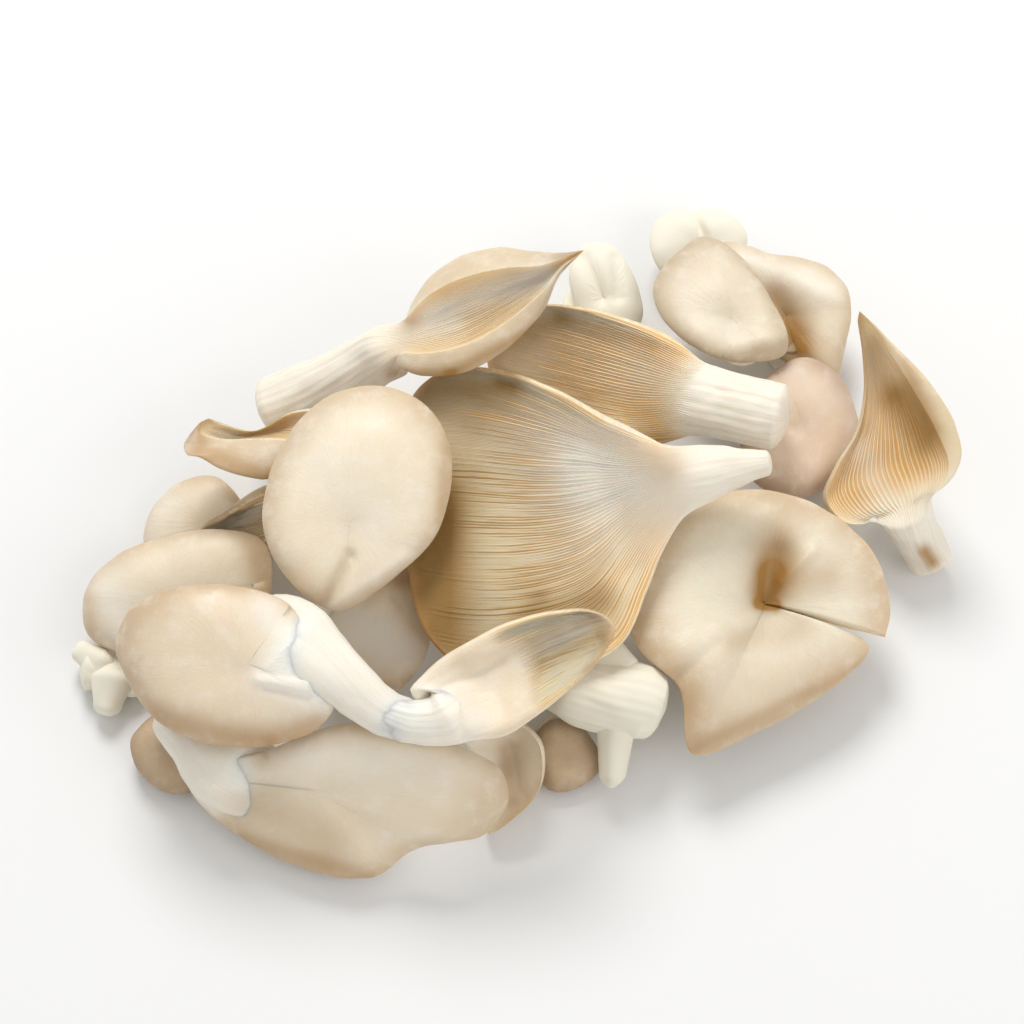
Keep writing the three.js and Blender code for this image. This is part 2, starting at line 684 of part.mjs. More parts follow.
// A fan, spread between the stem's end, its two sides and the rim opposite. The rim's curve takes in
// the sides, from the stem's one flank round to the other. Across, the fan is bowed to an arc.
class Fan extends Sheet {
  constructor(plan) {
    super(plan, false);
    [this.early, this.late] = plan.corners;
    this.first = this.rimPoint(0);
    this.last = this.rimPoint(1);
    this.cornerA = this.rimPoint(this.early);
    this.cornerB = this.rimPoint(this.late);
    const flank = this.first.clone().lerp(this.last, MIDWAY);
    this.bend = toVector(plan.stem.at(-1)).sub(flank).multiplyScalar(CHORD_BEND);
    const chord = this.first.distanceTo(this.last);
    this.joint = Math.min(plan.stem.at(-1)[3] * this.plan.flat, chord * JOINT_SHARE);
    this.turn = 1;
    let away = 0;
    for (let step = 0; step <= SETTLE_STEPS; step += 1) {
      const at = step / SETTLE_STEPS;
      away += this.outward(at).dot(this.rimPoint(at).sub(flank));
    }
    this.turn = Math.sign(away);
    this.settle();
  }

  // Square to the rim's curve, away from the stem
  outward(place) {
    const before = this.rimPoint(Math.max(place - RIM_STEP, 0));
    const after = this.rimPoint(Math.min(place + RIM_STEP, 1));
    return after.sub(before).cross(this.smooth).normalize().multiplyScalar(this.turn);
  }

  chord(at) {
    return blend([this.first, 1 - at], [this.last, at], [this.bend, 4 * at * (1 - at)]);
  }

  length(at) {
    return this.rimPoint(THREE.MathUtils.lerp(this.early, this.late, at)).distanceTo(this.chord(at));
  }

  middle(u, at) {
    const placeA = this.early * u;
    const placeB = 1 - (1 - this.late) * u;
    const placeEnd = THREE.MathUtils.lerp(this.early, this.late, at);
    const sideA = this.rimPoint(placeA);
    const sideB = this.rimPoint(placeB);
    const point = blend(
      [sideA, 1 - at],
      [sideB, at],
      [this.chord(at), 1 - u],
      [this.rimPoint(placeEnd), u],
      [this.first, (at - 1) * (1 - u)],
      [this.last, -at * (1 - u)],
      [this.cornerA, (at - 1) * u],
      [this.cornerB, -at * u],
    );
    const cross = 2 * at - 1;
    const width = across(sideB.sub(sideA), this.smooth);
    const half = width.length() / 2;
    const bulge = this.rimValue(this.bulges, cross < 0 ? placeA : placeB);
    const plain = THREE.MathUtils.degToRad(this.plan.roll);
    const angle = bulge > 0 ? Math.max(Math.PI - Math.asin(half / (half + bulge)), plain) : plain;
    const spread = (half * Math.sin(angle * cross)) / Math.sin(angle) - half * cross;
    const bow = (Math.cos(angle * cross) - Math.cos(angle)) / (1 - Math.cos(angle));
    const fade = THREE.MathUtils.smoothstep(u, 0, BOWL_START) * (1 - u ** 4);
    point.addScaledVector(width.normalize(), spread * fade);
    point.addScaledVector(this.smooth, this.plan.depth * bow * fade);
    const inward = (1 - u) / BULGE_PLACE;
    const swell = this.rimValue(this.bulges, placeEnd) * inward * Math.exp(1 - inward) * (1 - cross ** 4);
    return point.addScaledVector(this.outward(placeEnd), swell);
  }

  // Oval across where the stem joins, then even flesh with rounded sides
  half(u, at) {
    const cross = 2 * at - 1;
    const breadth = this.rimPoint(this.early * u).distanceTo(this.rimPoint(1 - (1 - this.late) * u));
    const flare = (this.joint - this.plan.flesh / 2) * Math.exp((-u * this.length(at)) / STEM_FLARE);
    const plump = (this.plan.flesh / 2 - HALF_EDGE) * (1 - u ** 2) * (1 - cross ** 4);
    const margin = Math.min((HALF_EDGE * LIP_ROUNDING) / breadth, MIDWAY);
    const even = rounded(Math.min(at, 1 - at) / margin);
    const oval = Math.sqrt(1 - cross ** 2);
    const side = THREE.MathUtils.lerp(oval, even, THREE.MathUtils.smoothstep(u, 0, OVAL_TO));
    const thick = Math.min(HALF_EDGE + plump + flare, breadth * BREADTH_SHARE);
    return thick * side * rounded((1 - u) / this.lip(at));
  }
}

// A cap rolled in to a trough: a hollow with gills inside a fuller outside, both hung from the rim.
// Its sides meet at the tip, and the corners are just beside it.
class Curl extends Sheet {
  constructor(plan) {
    super(plan, false);
    [this.early, this.late] = plan.corners;
    this.first = this.rimPoint(0);
    this.last = this.rimPoint(1);
  }

  length(at) {
    const end = this.rimPoint(THREE.MathUtils.lerp(this.early, this.late, at));
    return end.distanceTo(this.first.clone().lerp(this.last, at));
  }

  // The middle between the sides, the way across, and the bulge of the nearer side
  frame(u, at) {
    const placeA = this.early * u;
    const placeB = 1 - (1 - this.late) * u;
    const sideA = this.rimPoint(placeA);
    const width = this.rimPoint(placeB).sub(sideA);
    const bulge = Math.max(this.rimValue(this.bulges, at < MIDWAY ? placeA : placeB), LEAST_BULGE);
    const opening = THREE.MathUtils.lerp(TROUGH_LEAST, 1, THREE.MathUtils.smoothstep(u, 0, TROUGH_START));
    const half = width.length() / 2;
    const centre = sideA.addScaledVector(width, MIDWAY);
    return { centre, way: width.normalize(), half, bulge, deep: this.plan.depth * opening };
  }

  middle(u, at) {
    const { centre, way, half, deep } = this.frame(u, at);
    const turn = (at - MIDWAY) * Math.PI;
    const down = deep * (1 - u ** 3) * Math.cos(turn);
    return blend([centre, 1], [way, half * Math.sin(turn)], [this.smooth, down]);
  }

  outside(u, at) {
    const { centre, way, half, bulge, deep } = this.frame(u, at);
    const taper = Math.sqrt(1 - u ** 4);
    const reach = half + bulge * taper;
    const angle = Math.PI - Math.asin(half / reach);
    const cross = 2 * at - 1;
    const bow = (Math.cos(angle * cross) - Math.cos(angle)) / (1 - Math.cos(angle));
    const down = (deep + TROUGH_WALL) * taper * bow;
    return blend([centre, 1], [way, reach * Math.sin(angle * cross)], [this.smooth, down]);
  }

  pair(u, at) {
    const gill = this.gill(u, at) * Math.sin(Math.PI * at) * (1 - u ** 3);
    return [this.middle(u, at).addScaledVector(this.smooth, -gill), this.outside(u, at)];
  }
}

// The closed skin of a sheet: for every gill two columns of faces below and one above. Above and
// below share their points along the rim and the sides.
function skin(sheet) {
  const columns = 2 * sheet.plan.gills;
  const round = sheet instanceof Cap;
  const vertices = [];
  const triangles = [];
  const add = (point) => vertices.push(point.x, point.y, point.z) / 3 - 1;
  const face = (...corners) => {
    if (new Set(corners).size === 3) {
      triangles.push(...corners);
    }
  };
  // Where a side meets the rim, above and below would share all three corners of a face
  const isCorner = (row, column) => !sheet.closed && row === ROWS - 1 && column === 0;
  const below = [];
  const above = [];
  for (let row = 0; row <= ROWS; row += 1) {
    const rim = row === ROWS;
    const lower = [];
    const upper = [];
    for (let column = 0; column <= columns; column += 1) {
      const at = column / columns;
      const last = column === columns;
      const side = !sheet.closed && (column === 0 || last) && !(round && row === 0);
      if ((round && row === 0 && column > 0) || (sheet.closed && last)) {
        lower.push(lower[0]);
        if (column % 2 === 0) {
          upper.push(upper[0]);
        }
        continue;
      }
      const inner = (row / (ROWS - 1)) ** ROW_CROWDING * (1 - sheet.lip(at) / 2);
      const [under, over] = sheet.pair(rim ? 1 : inner, at);
      lower.push(add(under));
      if (column % 2 === 0) {
        upper.push(rim || side ? lower.at(-1) : add(over));
      }
    }
    below.push(lower);
    above.push(upper);
  }
  for (let row = 0; row < ROWS; row += 1) {
    for (let column = 0; column < columns; column += 1) {
      const [a, b] = [below[row][column], below[row][column + 1]];
      const [c, d] = [below[row + 1][column], below[row + 1][column + 1]];
      if (!isCorner(row, column)) {
        face(a, c, d);
      }
      face(a, d, b);
    }
    for (let gill = 0; gill < sheet.plan.gills; gill += 1) {
      const [a, b] = [above[row][gill], above[row][gill + 1]];
      const [c, d] = [above[row + 1][gill], above[row + 1][gill + 1]];
      if (row < ROWS - 1) {
        face(a, d, c);
        face(a, b, d);
      } else {
        const middle = below[ROWS][2 * gill + 1];
        if (!isCorner(row, gill)) {
          face(a, middle, c);
        }
        face(a, gill === 0 ? b : d, middle);
        face(gill === 0 ? middle : a, b, d);
      }
    }
  }
  for (let gill = 0; gill < sheet.plan.gills; gill += 1) {
    const [a, middle, b] = below[0].slice(2 * gill, 2 * gill + 3);
    face(a, middle, above[0][gill]);
    face(middle, above[0][gill + 1], above[0][gill]);
    face(middle, b, above[0][gill + 1]);
  }
  if (!sheet.closed) {
    face(below[1][0], below[0][0], above[0][0]);
    face(below[0][columns], below[1][columns], above[0].at(-1));
  }
  return outward(vertices, triangles);
}

// The stem as a closed solid: oval rings up to its end and a low dome inside the cap's flesh
function stemSolid(sheet) {
  const { stem, wide = 1, flat = 1, gillsUp } = sheet.plan;
  const line = new THREE.CatmullRomCurve3(stem.map(toVector), false, "centripetal");
  const direction = (t) => {
    const before = line.getPoint(Math.max(t - RIM_STEP, 0));
    return line.getPoint(Math.min(t + RIM_STEP, 1)).sub(before).normalize();
  };
  const spread = gillsUp ? sheet.last.clone().sub(sheet.first) : new THREE.Vector3(1, 0, 0);
  const vertices = [];
  const triangles = [];
  const rings = [];
  const addRing = (centre, side, face) => {
    const ring = [];
    for (let at = 0; at < STEM_SIDES; at += 1) {
      const turn = (2 * Math.PI * at) / STEM_SIDES;
      const point = blend([centre, 1], [side, Math.cos(turn)], [face, Math.sin(turn)]);
      ring.push(vertices.push(point.x, point.y, point.z) / 3 - 1);
    }
    rings.push(ring);
  };
  const radii = stem.map((corner) => corner[3]);
  for (let row = 0; row <= STEM_ROWS; row += 1) {
    const t = row / STEM_ROWS;
    const up = direction(t);
    const side = across(spread, up).normalize();
    const face = side.clone().cross(up).multiplyScalar(along(radii, t) * THREE.MathUtils.lerp(1, flat, t));
    side.multiplyScalar(along(radii, t) * THREE.MathUtils.lerp(1, wide, t));
    const domed = gillsUp && row === STEM_ROWS;
    for (const turn of domed ? DOME_TURNS : [0]) {
      const shrink = Math.cos((turn * Math.PI) / 2);
      const rise = face.length() * DOME_REACH * Math.sin((turn * Math.PI) / 2);
      const centre = line.getPoint(t).addScaledVector(up, rise);
      addRing(centre, side.clone().multiplyScalar(shrink), face.clone().multiplyScalar(shrink));
    }
  }
  for (let row = 0; row < rings.length - 1; row += 1) {
    for (let at = 0; at < STEM_SIDES; at += 1) {
      const next = (at + 1) % STEM_SIDES;
      const [a, b] = [rings[row][at], rings[row][next]];
      const [c, d] = [rings[row + 1][at], rings[row + 1][next]];
      triangles.push(a, b, d, a, d, c);
    }
  }
  closeRing(rings[0].toReversed(), vertices, triangles);
  closeRing(rings.at(-1), vertices, triangles);
  return outward(vertices, triangles);
}

// A flat fan of triangles over a ring of vertices
function closeRing(ring, vertices, triangles) {
  const middle = new THREE.Vector3();
  for (const index of ring) {
    middle.add(new THREE.Vector3().fromArray(vertices, 3 * index));
  }
  middle.divideScalar(ring.length);
  const hub = vertices.push(middle.x, middle.y, middle.z) / 3 - 1;
  ring.forEach((index, at) => triangles.push(hub, index, ring[(at + 1) % ring.length]));
}

// Vertices and triangles as a geometry with its faces turned out
function outward(vertices, triangles) {
  const corner = (index) => new THREE.Vector3().fromArray(vertices, 3 * index);
  let volume = 0;
  for (let at = 0; at < triangles.length; at += 3) {
    volume += corner(triangles[at]).dot(corner(triangles[at + 1]).cross(corner(triangles[at + 2])));
  }
  const order = volume < 0 ? triangles.toReversed() : triangles;
  const geometry = new THREE.BufferGeometry();
  geometry.setAttribute("position", new THREE.Float32BufferAttribute(vertices, 3));
  geometry.setIndex(order);
  return geometry;
}

function manifoldOf(geometry) {
  const mesh = new wasm.Mesh({
    numProp: 3,
    vertProperties: new Float32Array(geometry.attributes.position.array),
    triVerts: new Uint32Array(geometry.index.array),
  });
  return new wasm.Manifold(mesh);
}

// A knob of flesh between two points, round at both ends
function knob({ from, to, radius }) {
  const start = new THREE.Vector3(...from);
  const way = new THREE.Vector3(...to).sub(start);
  const shape = new THREE.CapsuleGeometry(radius, way.length(), KNOB_RINGS, KNOB_SIDES);
  shape.deleteAttribute("normal");
  shape.deleteAttribute("uv");
  const turn = new THREE.Quaternion().setFromUnitVectors(new THREE.Vector3(0, 1, 0), way.clone().normalize());
  shape.applyQuaternion(turn);
  const middle = start.addScaledVector(way, 0.5);
  shape.translate(middle.x, middle.y, middle.z);
  return mergeVertices(shape, KNOB_MERGE);
}

function solidsOf(plan) {
  const Kind = plan.trough ? Curl : plan.gillsUp ? Fan : Cap;
  const sheet = new Kind(plan);
  return [stemSolid(sheet), skin(sheet), ...(plan.lobes ?? []).map(knob)];
}

// One mushroom, with any other that grew from the same stem, as one mesh. Flesh below the plane that
// the heap lies on is pressed flat.
function mushroom(plan, ...joined) {
  const shapes = solidsOf(plan);
  for (const other of joined) {
    const shift = other.place.map((value, axis) => value - plan.place[axis]);
    shapes.push(...solidsOf(other).map((shape) => shape.translate(...shift)));
  }
  const fused = shapes.map(manifoldOf).reduce((sum, next) => sum.add(next));
  const pressed = fused.trimByPlane([0, 0, 1], -plan.place[2]);
  const body = pressed.decompose().reduce((best, next) => (next.volume() > best.volume() ? next : best));
  const { vertProperties, triVerts } = body.getMesh();
  const geometry = new THREE.BufferGeometry();
  geometry.setAttribute("position", new THREE.BufferAttribute(vertProperties, 3));
  geometry.setIndex(new THREE.BufferAttribute(triVerts, 1));
  geometry.computeVertexNormals();
  const material = new THREE.MeshStandardMaterial({ color: plan.colour, roughness: FLESH_ROUGHNESS });
  const mesh = new THREE.Mesh(geometry, material);
  mesh.name = plan.name;
  mesh.position.set(...plan.place);
  return mesh;
}

const heap = new THREE.Group();
heap.position.set(-HEAP_MIDDLE[0], -HEAP_MIDDLE[1], 0);
heap.add(mushroom(capBigLeft, curlSmall));
for (const plan of [
  capShaded, capLeftBack, wedge, stub, capLeft, capBrown, curlBottom, capBottom, capTopWhite, capBilobed,
  capRightBack, capPink, halfRight, capOvalRight, stemKnob, capSplit, capCentre, fanUpper, fanLarge,
  curlTop, curlLeft, capOval,
]) {
  heap.add(mushroom(plan));
}

export default heap;
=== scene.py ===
"""Oyster mushrooms heaped in a loose cluster: smooth caps, gilled fans and rolled caps.

Laid out as a Blender add-on. Each mushroom is a fine closed mesh that stands for its solid in the
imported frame, made by the same formulas from the same outlines, with finer gills, folds and flesh.
Outlines are in millimetres, in the part's own axes: X to the heap's right, Y to its back and Z up.
"""
import math

import bpy
import numpy as np
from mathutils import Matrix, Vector
from mathutils.kdtree import KDTree


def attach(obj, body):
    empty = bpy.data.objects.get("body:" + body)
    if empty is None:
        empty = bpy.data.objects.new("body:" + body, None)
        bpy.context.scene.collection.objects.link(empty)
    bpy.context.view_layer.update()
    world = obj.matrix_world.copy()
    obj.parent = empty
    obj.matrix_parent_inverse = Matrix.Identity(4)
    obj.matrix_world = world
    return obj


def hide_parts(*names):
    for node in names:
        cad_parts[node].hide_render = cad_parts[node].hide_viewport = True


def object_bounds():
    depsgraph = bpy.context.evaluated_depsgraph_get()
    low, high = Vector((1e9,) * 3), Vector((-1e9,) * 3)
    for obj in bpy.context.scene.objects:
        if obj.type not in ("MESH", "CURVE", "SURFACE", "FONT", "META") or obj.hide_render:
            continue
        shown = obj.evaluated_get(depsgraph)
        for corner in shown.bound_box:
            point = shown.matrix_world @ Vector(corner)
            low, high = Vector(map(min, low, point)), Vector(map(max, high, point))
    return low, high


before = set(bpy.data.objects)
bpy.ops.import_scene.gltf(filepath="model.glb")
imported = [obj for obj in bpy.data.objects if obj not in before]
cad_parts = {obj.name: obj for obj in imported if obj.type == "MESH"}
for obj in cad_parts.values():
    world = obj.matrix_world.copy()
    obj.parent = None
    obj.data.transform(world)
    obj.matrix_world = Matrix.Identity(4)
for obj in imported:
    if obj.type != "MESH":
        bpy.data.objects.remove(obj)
CAD_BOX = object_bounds()

bl_info = {
    "name": "Oyster mushroom cluster",
    "version": (1, 0, 0),
    "blender": (4, 5, 0),
    "location": "View3D > Sidebar > Mushrooms",
    "description": "Fine gilled mushrooms over the packed solids of a loose heap",
    "category": "Object",
}

MM = 0.001

# The heap's middle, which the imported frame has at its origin
HEAP_MIDDLE = np.array([0.76, -6.14, 0.0])
# The photograph's viewing angle: towards the camera, and up in its picture
ELEVATION = math.radians(64.0)
TO_CAMERA = np.array([0.0, -math.cos(ELEVATION), math.sin(ELEVATION)])
PICTURE_UP = np.array([0.0, math.sin(ELEVATION), math.cos(ELEVATION)])
# The camera's distance in mm, its focal length in pixels of the photograph, the picture's width in
# pixels and the sensor's in mm
DISTANCE = 550.0
FOCAL_PIXELS = 2500.0
PICTURE = 1024.0
SENSOR = 36.0

# Shapes shared with the solids: lips and margins as shares of the edge's thickness or of the width,
# flares, bulges and trough walls in mm, and the rest as shares of the way to the rim
LIP_ROUNDING = 1.3
WIDEST_MARGIN = 0.06
WIDEST_FAN_MARGIN = 0.5
GILL_FREE_SIDE = 0.03
GILL_FREE_RIM = 0.05
GILL_ONSET = 0.15
CHORD_BEND = 0.5
JOINT_SHARE = 0.45
STEM_FLARE = 6.0
OVAL_TO = 0.35
FAN_ROLL = math.radians(60.0)
BOWL_START = 0.35
BULGE_PLACE = 0.2
BREADTH_SHARE = 0.35
LEAST_BULGE = 0.8
TROUGH_START = 0.3
TROUGH_LEAST = 0.35
TROUGH_WALL = 2.5
NORMAL_BIAS = 0.0005
DIFFERENCE_STEP = 0.004
RIM_STEP = 0.005
CURVE_STEPS = 200
RIM_SAMPLES = 41
# Where a sheet is tried for which way its smooth face lies
TRIED_ROWS = (0.4, 0.5, 0.6)
TRIED_COLUMNS = np.linspace(0.1, 0.9, 17)
# Under these a length is taken as none, and two corners of a curve as the same, in mm
TINY = 1e-9
SAME_CORNER = 1e-4

# Fineness: columns for each gill, rows over the lip and how they crowd there, rows and columns of
# stems and knobs, every which point of a cap its stem looks for, and what is welded, in metres
GILL_COLUMNS = 8
LIP_ROWS = 4
ROW_CROWDING = 0.9
STEM_COLUMNS = 64
STEM_ROWS = 30
BRIDGE_ROWS = 10
DOME_ROWS = 6
END_ROWS = 5
KNOB_COLUMNS = 32
KNOB_ROWS = 20
NEAR_ROWS, NEAR_COLUMNS = 2, 3
WELD = 2e-6

# Gills: where halves and quarters start, how tall they are, how fast they grow out, and how far a
# full gill's foot spreads where it has no neighbour
HALF_STARTS = (0.12, 0.42)
QUARTER_STARTS = (0.42, 0.72)
SHORT_GILL = 0.8
GILL_HEIGHTS = (0.8, 1.0)
GILL_GROWTH = 0.22
FOOT = 0.55
FOOT_BEFORE = 0.1
FOOT_AFTER = 0.12
# Their sway from side to side: how far, in gills, and each wave's share, pace outwards and turns
GILL_SWAY = 0.16
SWAYS = ((1.0, 7, 6), (0.6, 15, 22))

# Random relief: how many waves it sums and their paces, and its height and wavelength in mm, with
# the step to its seed
WAVE_COUNT = 5
WAVE_PACES = (0.7, 1.4)
SKIN_WAVES = ((0.35, 26.0, 0), (0.12, 8.0, 7))
RIM_WAVES = (0.25, 7.0, 3)
RIM_WAVES_FROM = 0.75
STEM_WAVES = ((0.55, 14.0, 11), (0.25, 5.0, 12))
WAVED_STEM = 5.0
KNOB_WAVES = (0.7, 4.5)

# A stem's cut end: how full it is and how far it stands out. Its ridges: depth, counts and phases
END_FULLNESS = 0.7
END_RISE = 0.3
STEM_RIDGES = 0.006
RIDGE_WAVES = ((9, 1.0), (14, 2.0), (23, 3.0))
# How far round a stem its cap flares, in mm, further where the cap flows into it on both sides
FLARE_REACH = 7.0
FLOW_REACH = 9.0
FLARE_STEPS = 121
SHAFT_FROM = 0.1
# A stem's end inside its cap: a low dome, or a long nose that dips into a cap that flows into it
DOME_RISE = 0.1
NOSE_RISE = 1.5
NOSE_DIP = 0.5
# Where a gilled mushroom's stem stops and its fan starts, with a smooth bridge between, and how far
# past the stem its colour fades, in mm
STALK_END = 0.82
FAN_START = 0.07
STEM_FADE = (-0.5, 11.0)
STEM_COVER = 0.6
# How much thicker a knob is where it grows out, and a way that no knob runs along
KNOB_TAPER = 1.5
KNOB_SIDE = (0.3, 0.2, 1.0)
# How closely fibres lie round a stem, along it, out over a cap and over a knob
FIBRES_ROUND = 16
FIBRES_ALONG = 3
CAP_FIBRES = 0.12
KNOB_FIBRES = 0.5
# Between the seeds of mushrooms that share a stem
JOINED_SEED = 40

# What noise the flesh has: its scale, detail and roughness
BROAD = (60.0, 3.0, 0.5)
MOTTLE = (260.0, 4.0, 0.6)
GRAIN = (1800.0, 2.0, 0.5)
STRANDS = (2.2, 3.0, 0.6)
# Where a tint comes in, from nothing to full, and the share it then has
RIM_TINT = (0.55, 1.05, 0.75)
PALE_TINT = (0.45, 0.75, 0.35)
STREAK_TINT = (0.5, 0.8, 0.16)
CREST_TINT = (-0.1, 0.55, 1.0)
GROOVE_TINT = (0.35, 0.7, 0.35)
GILL_RIM_TINT = (0.9, 1.0, 0.6)
STEM_TINT = (0.4, 0.75, 0.6)
RIM_WANDER = 0.35
# Roughness: least, added by mottling and added on gills. Relief: strands, mottling and grain
ROUGHNESS = (0.36, 0.25, 0.15)
RELIEF = (0.55, 0.6, 0.35)
BUMP = {"Distance": 0.00016, "Strength": 0.8}
FLESH = {
    "Subsurface Weight": 0.35,
    "Subsurface Radius": (1.0, 0.6, 0.3),
    "Subsurface Scale": 0.0025,
    "Coat Weight": 0.12,
    "Coat Roughness": 0.3,
}

FLOOR_SIZE = 6.0
FLOOR_CLOUDS = (3.0, 3.0, 0.5)
FLOOR_CLOUD_SHARE = 0.03
FLOOR_CLOUD_SHADE = 0.9
FLOOR_ROUGHNESS = 0.8
WORLD = {"Color": (1.0, 1.0, 0.99, 1.0), "Strength": 0.6}
# Name, place, size, power and colour
LIGHTS = (
    ("key_light", (-0.15, 0.75, 0.9), 0.5, 8.0, (1.0, 1.0, 0.99)),
    ("fill_light", (0.8, -0.6, 0.8), 0.9, 3.5, (1.0, 0.98, 0.95)),
)


def unit(vectors):
    return vectors / np.maximum(np.linalg.norm(vectors, axis=-1, keepdims=True), TINY)


def smoothstep(value, low=0.0, high=1.0):
    step = np.clip((value - low) / (high - low), 0, 1)
    return step * step * (3 - 2 * step)


def rounded(inward):
    """How full a rounded lip is at a share of its width in from the edge."""
    return np.sqrt(np.maximum(1 - (1 - np.clip(inward, 0, 1)) ** 2, 0))


def along(values, share):
    """Values read at 0..1, straight between neighbours."""
    last = len(values) - 1
    return np.interp(np.clip(share, 0, 1) * last, np.arange(last + 1), values)


def seen(points):
    """Where points of the heap, in mm, lie in the photograph's frame of 1024 pixels."""
    way = points - TO_CAMERA * DISTANCE
    depth = -(way @ TO_CAMERA)
    across = PICTURE / 2 + FOCAL_PIXELS * way[..., 0] / depth
    down = PICTURE / 2 - FOCAL_PIXELS * (way @ PICTURE_UP) / depth
    return across, down


def stroke(points, start_across, start_down, end_across, end_down, radius):
    """A soft brush stroke in the photograph's frame: 1 on its line, fading out at its radius."""
    across, down = seen(points)
    across, down = across - start_across, down - start_down
    run = np.array([end_across - start_across, end_down - start_down], float)
    share = np.clip((across * run[0] + down * run[1]) / max(run @ run, TINY), 0, 1)
    gap = (across - share * run[0]) ** 2 + (down - share * run[1]) ** 2
    return np.exp(-gap / radius**2)


def waves(points, seed, wavelength):
    """Smooth random relief from -1 to 1, the same each time for a seed."""
    draw = np.random.default_rng(seed)
    total = np.zeros(points.shape[:-1])
    for _ in range(WAVE_COUNT):
        way = unit(draw.normal(size=3)) * (2 * np.pi / wavelength) * draw.uniform(*WAVE_PACES)
        total += np.sin(points @ way + draw.uniform(0, 2 * np.pi))
    return total / WAVE_COUNT


class Curve:
    """A smooth curve through points, read by the share of its length."""

    def __init__(self, points, closed):
        self.points = np.asarray(points, float)
        self.closed = closed
        self.steps = np.linspace(0, 1, CURVE_STEPS + 1)
        gaps = np.linalg.norm(np.diff(self.point(self.steps), axis=0), axis=1)
        self.lengths = np.concatenate([[0], np.cumsum(gaps)])

    def neighbours(self, step):
        points, count = self.points, len(self.points)
        if self.closed:
            place = step * count
            index = np.floor(place).astype(int)
            four = [points[(index + shift) % count] for shift in (-1, 0, 1, 2)]
            return four, place - index
        place = np.clip(step, 0, 1) * (count - 1)
        index = np.minimum(place.astype(int), count - 2)
        run = np.vstack([2 * points[0] - points[1], points, 2 * points[-1] - points[-2]])
        return [run[index + shift] for shift in range(4)], place - index

    def point(self, step):
        step = np.asarray(step, float)
        (before, start, end, after), share = self.neighbours(step.ravel())

        def spacing(one, other):
            gap = ((one - other) ** 2).sum(1) ** 0.25
            return np.where(gap < SAME_CORNER, 1.0, gap)[:, None]

        first, middle, last = spacing(before, start), spacing(start, end), spacing(end, after)
        straight = (end - start) / middle
        out = (start - before) / first - (end - before) / (first + middle) + straight
        into = straight - (after - start) / (middle + last) + (after - end) / last
        out, into, share = out * middle, into * middle, share[:, None]
        point = start + out * share + (3 * (end - start) - 2 * out - into) * share**2
        point += (2 * (start - end) + out + into) * share**3
        return point.reshape(step.shape + (3,))

    def share(self, at):
        return np.interp(np.asarray(at, float), self.lengths / self.lengths[-1], self.steps)

    def at(self, at):
        return self.point(self.share(at))


class Sheet:
    """Flesh about a middle surface. u runs from 0 at the crown or stem to 1 at the rim, and at from
    0 to 1 round the crown, or from one side of a fan to the other. A corner of the rim is a point
    and the angle at which a cap arrives there, or how far a fan or rolled cap bulges past it."""

    def __init__(self, plan, settings, closed):
        self.plan = {"flat": 1, "rise": 0, "gills_from": 0, "flow": False, **plan}
        self.closed = closed
        self.edge = settings.edge / MM / 2
        self.crown_half = plan.get("flesh", settings.crown / MM) / 2
        self.gill_depth = settings.gill_depth / MM
        self.gill_spacing = settings.gill_spacing / MM
        self.rim = Curve([corner[:3] for corner in plan["rim"]], closed)
        self.marks = [corner[3] if len(corner) > 3 else 0.0 for corner in plan["rim"]]
        self.smooth = TO_CAMERA if plan["kind"] is Cap else -TO_CAMERA

    def settle(self):
        """Called when the middle surface is ready: its reach, and which way its smooth face is."""
        at = np.linspace(0, 1, RIM_SAMPLES)
        self.reach = self.length(at).max()
        u, at = np.meshgrid(TRIED_ROWS, TRIED_COLUMNS, indexing="ij")
        self.sign = np.sign((self.tilt(u, at) @ self.smooth).sum())

    def mark(self, at):
        return along(self.marks, self.rim.share(at))

    def wrapped(self, at):
        return np.mod(at, 1.0) if self.closed else np.clip(at, 0, 1)

    def sideways(self, u, at):
        """The change of the middle surface per unit of at."""
        before = at - DIFFERENCE_STEP if self.closed else np.maximum(at - DIFFERENCE_STEP, 0)
        after = at + DIFFERENCE_STEP if self.closed else np.minimum(at + DIFFERENCE_STEP, 1)
        change = self.middle(u, self.wrapped(after)) - self.middle(u, self.wrapped(before))
        return change / (after - before)[..., None]

    def tilt(self, u, at):
        """Square to the middle surface, either way out."""
        before, after = np.maximum(u - DIFFERENCE_STEP, 0), np.minimum(u + DIFFERENCE_STEP, 1)
        outwards = (self.middle(after, at) - self.middle(before, at)) / (after - before)[..., None]
        return np.cross(self.sideways(u, at), outwards)

    def normal(self, u, at):
        return unit(self.tilt(u, at) * self.sign + self.smooth * (NORMAL_BIAS * self.reach**2))

    def lip(self, at):
        """The share of the way to the rim that the rounded lip takes."""
        return self.edge * LIP_ROUNDING / self.length(at)

    def gill_room(self, u, at):
        """How far a gill may stand out: less where they are crowded, and none at rim and sides."""
        spacing = np.linalg.norm(self.sideways(u, at), axis=-1) / self.plan["gills"]
        room = np.clip(spacing / self.gill_spacing, 0, 1) * np.clip((1 - u) / GILL_FREE_RIM, 0, 1)
        if self.plan["gills_from"]:
            room = room * np.clip((u - self.plan["gills_from"]) / GILL_ONSET, 0, 1)
        if not self.closed:
            room = room * np.clip(np.minimum(at, 1 - at) / GILL_FREE_SIDE, 0, 1)
        return self.gill_depth * room

    def faces(self, u, at, crest):
        """The points below and above the middle surface, and the way out of the smooth face."""
        middle, normal, half = self.middle(u, at), self.normal(u, at), self.half(u, at)
        stand = half + crest * self.gill_room(u, at)
        return middle - normal * stand[..., None], middle + normal * half[..., None], normal


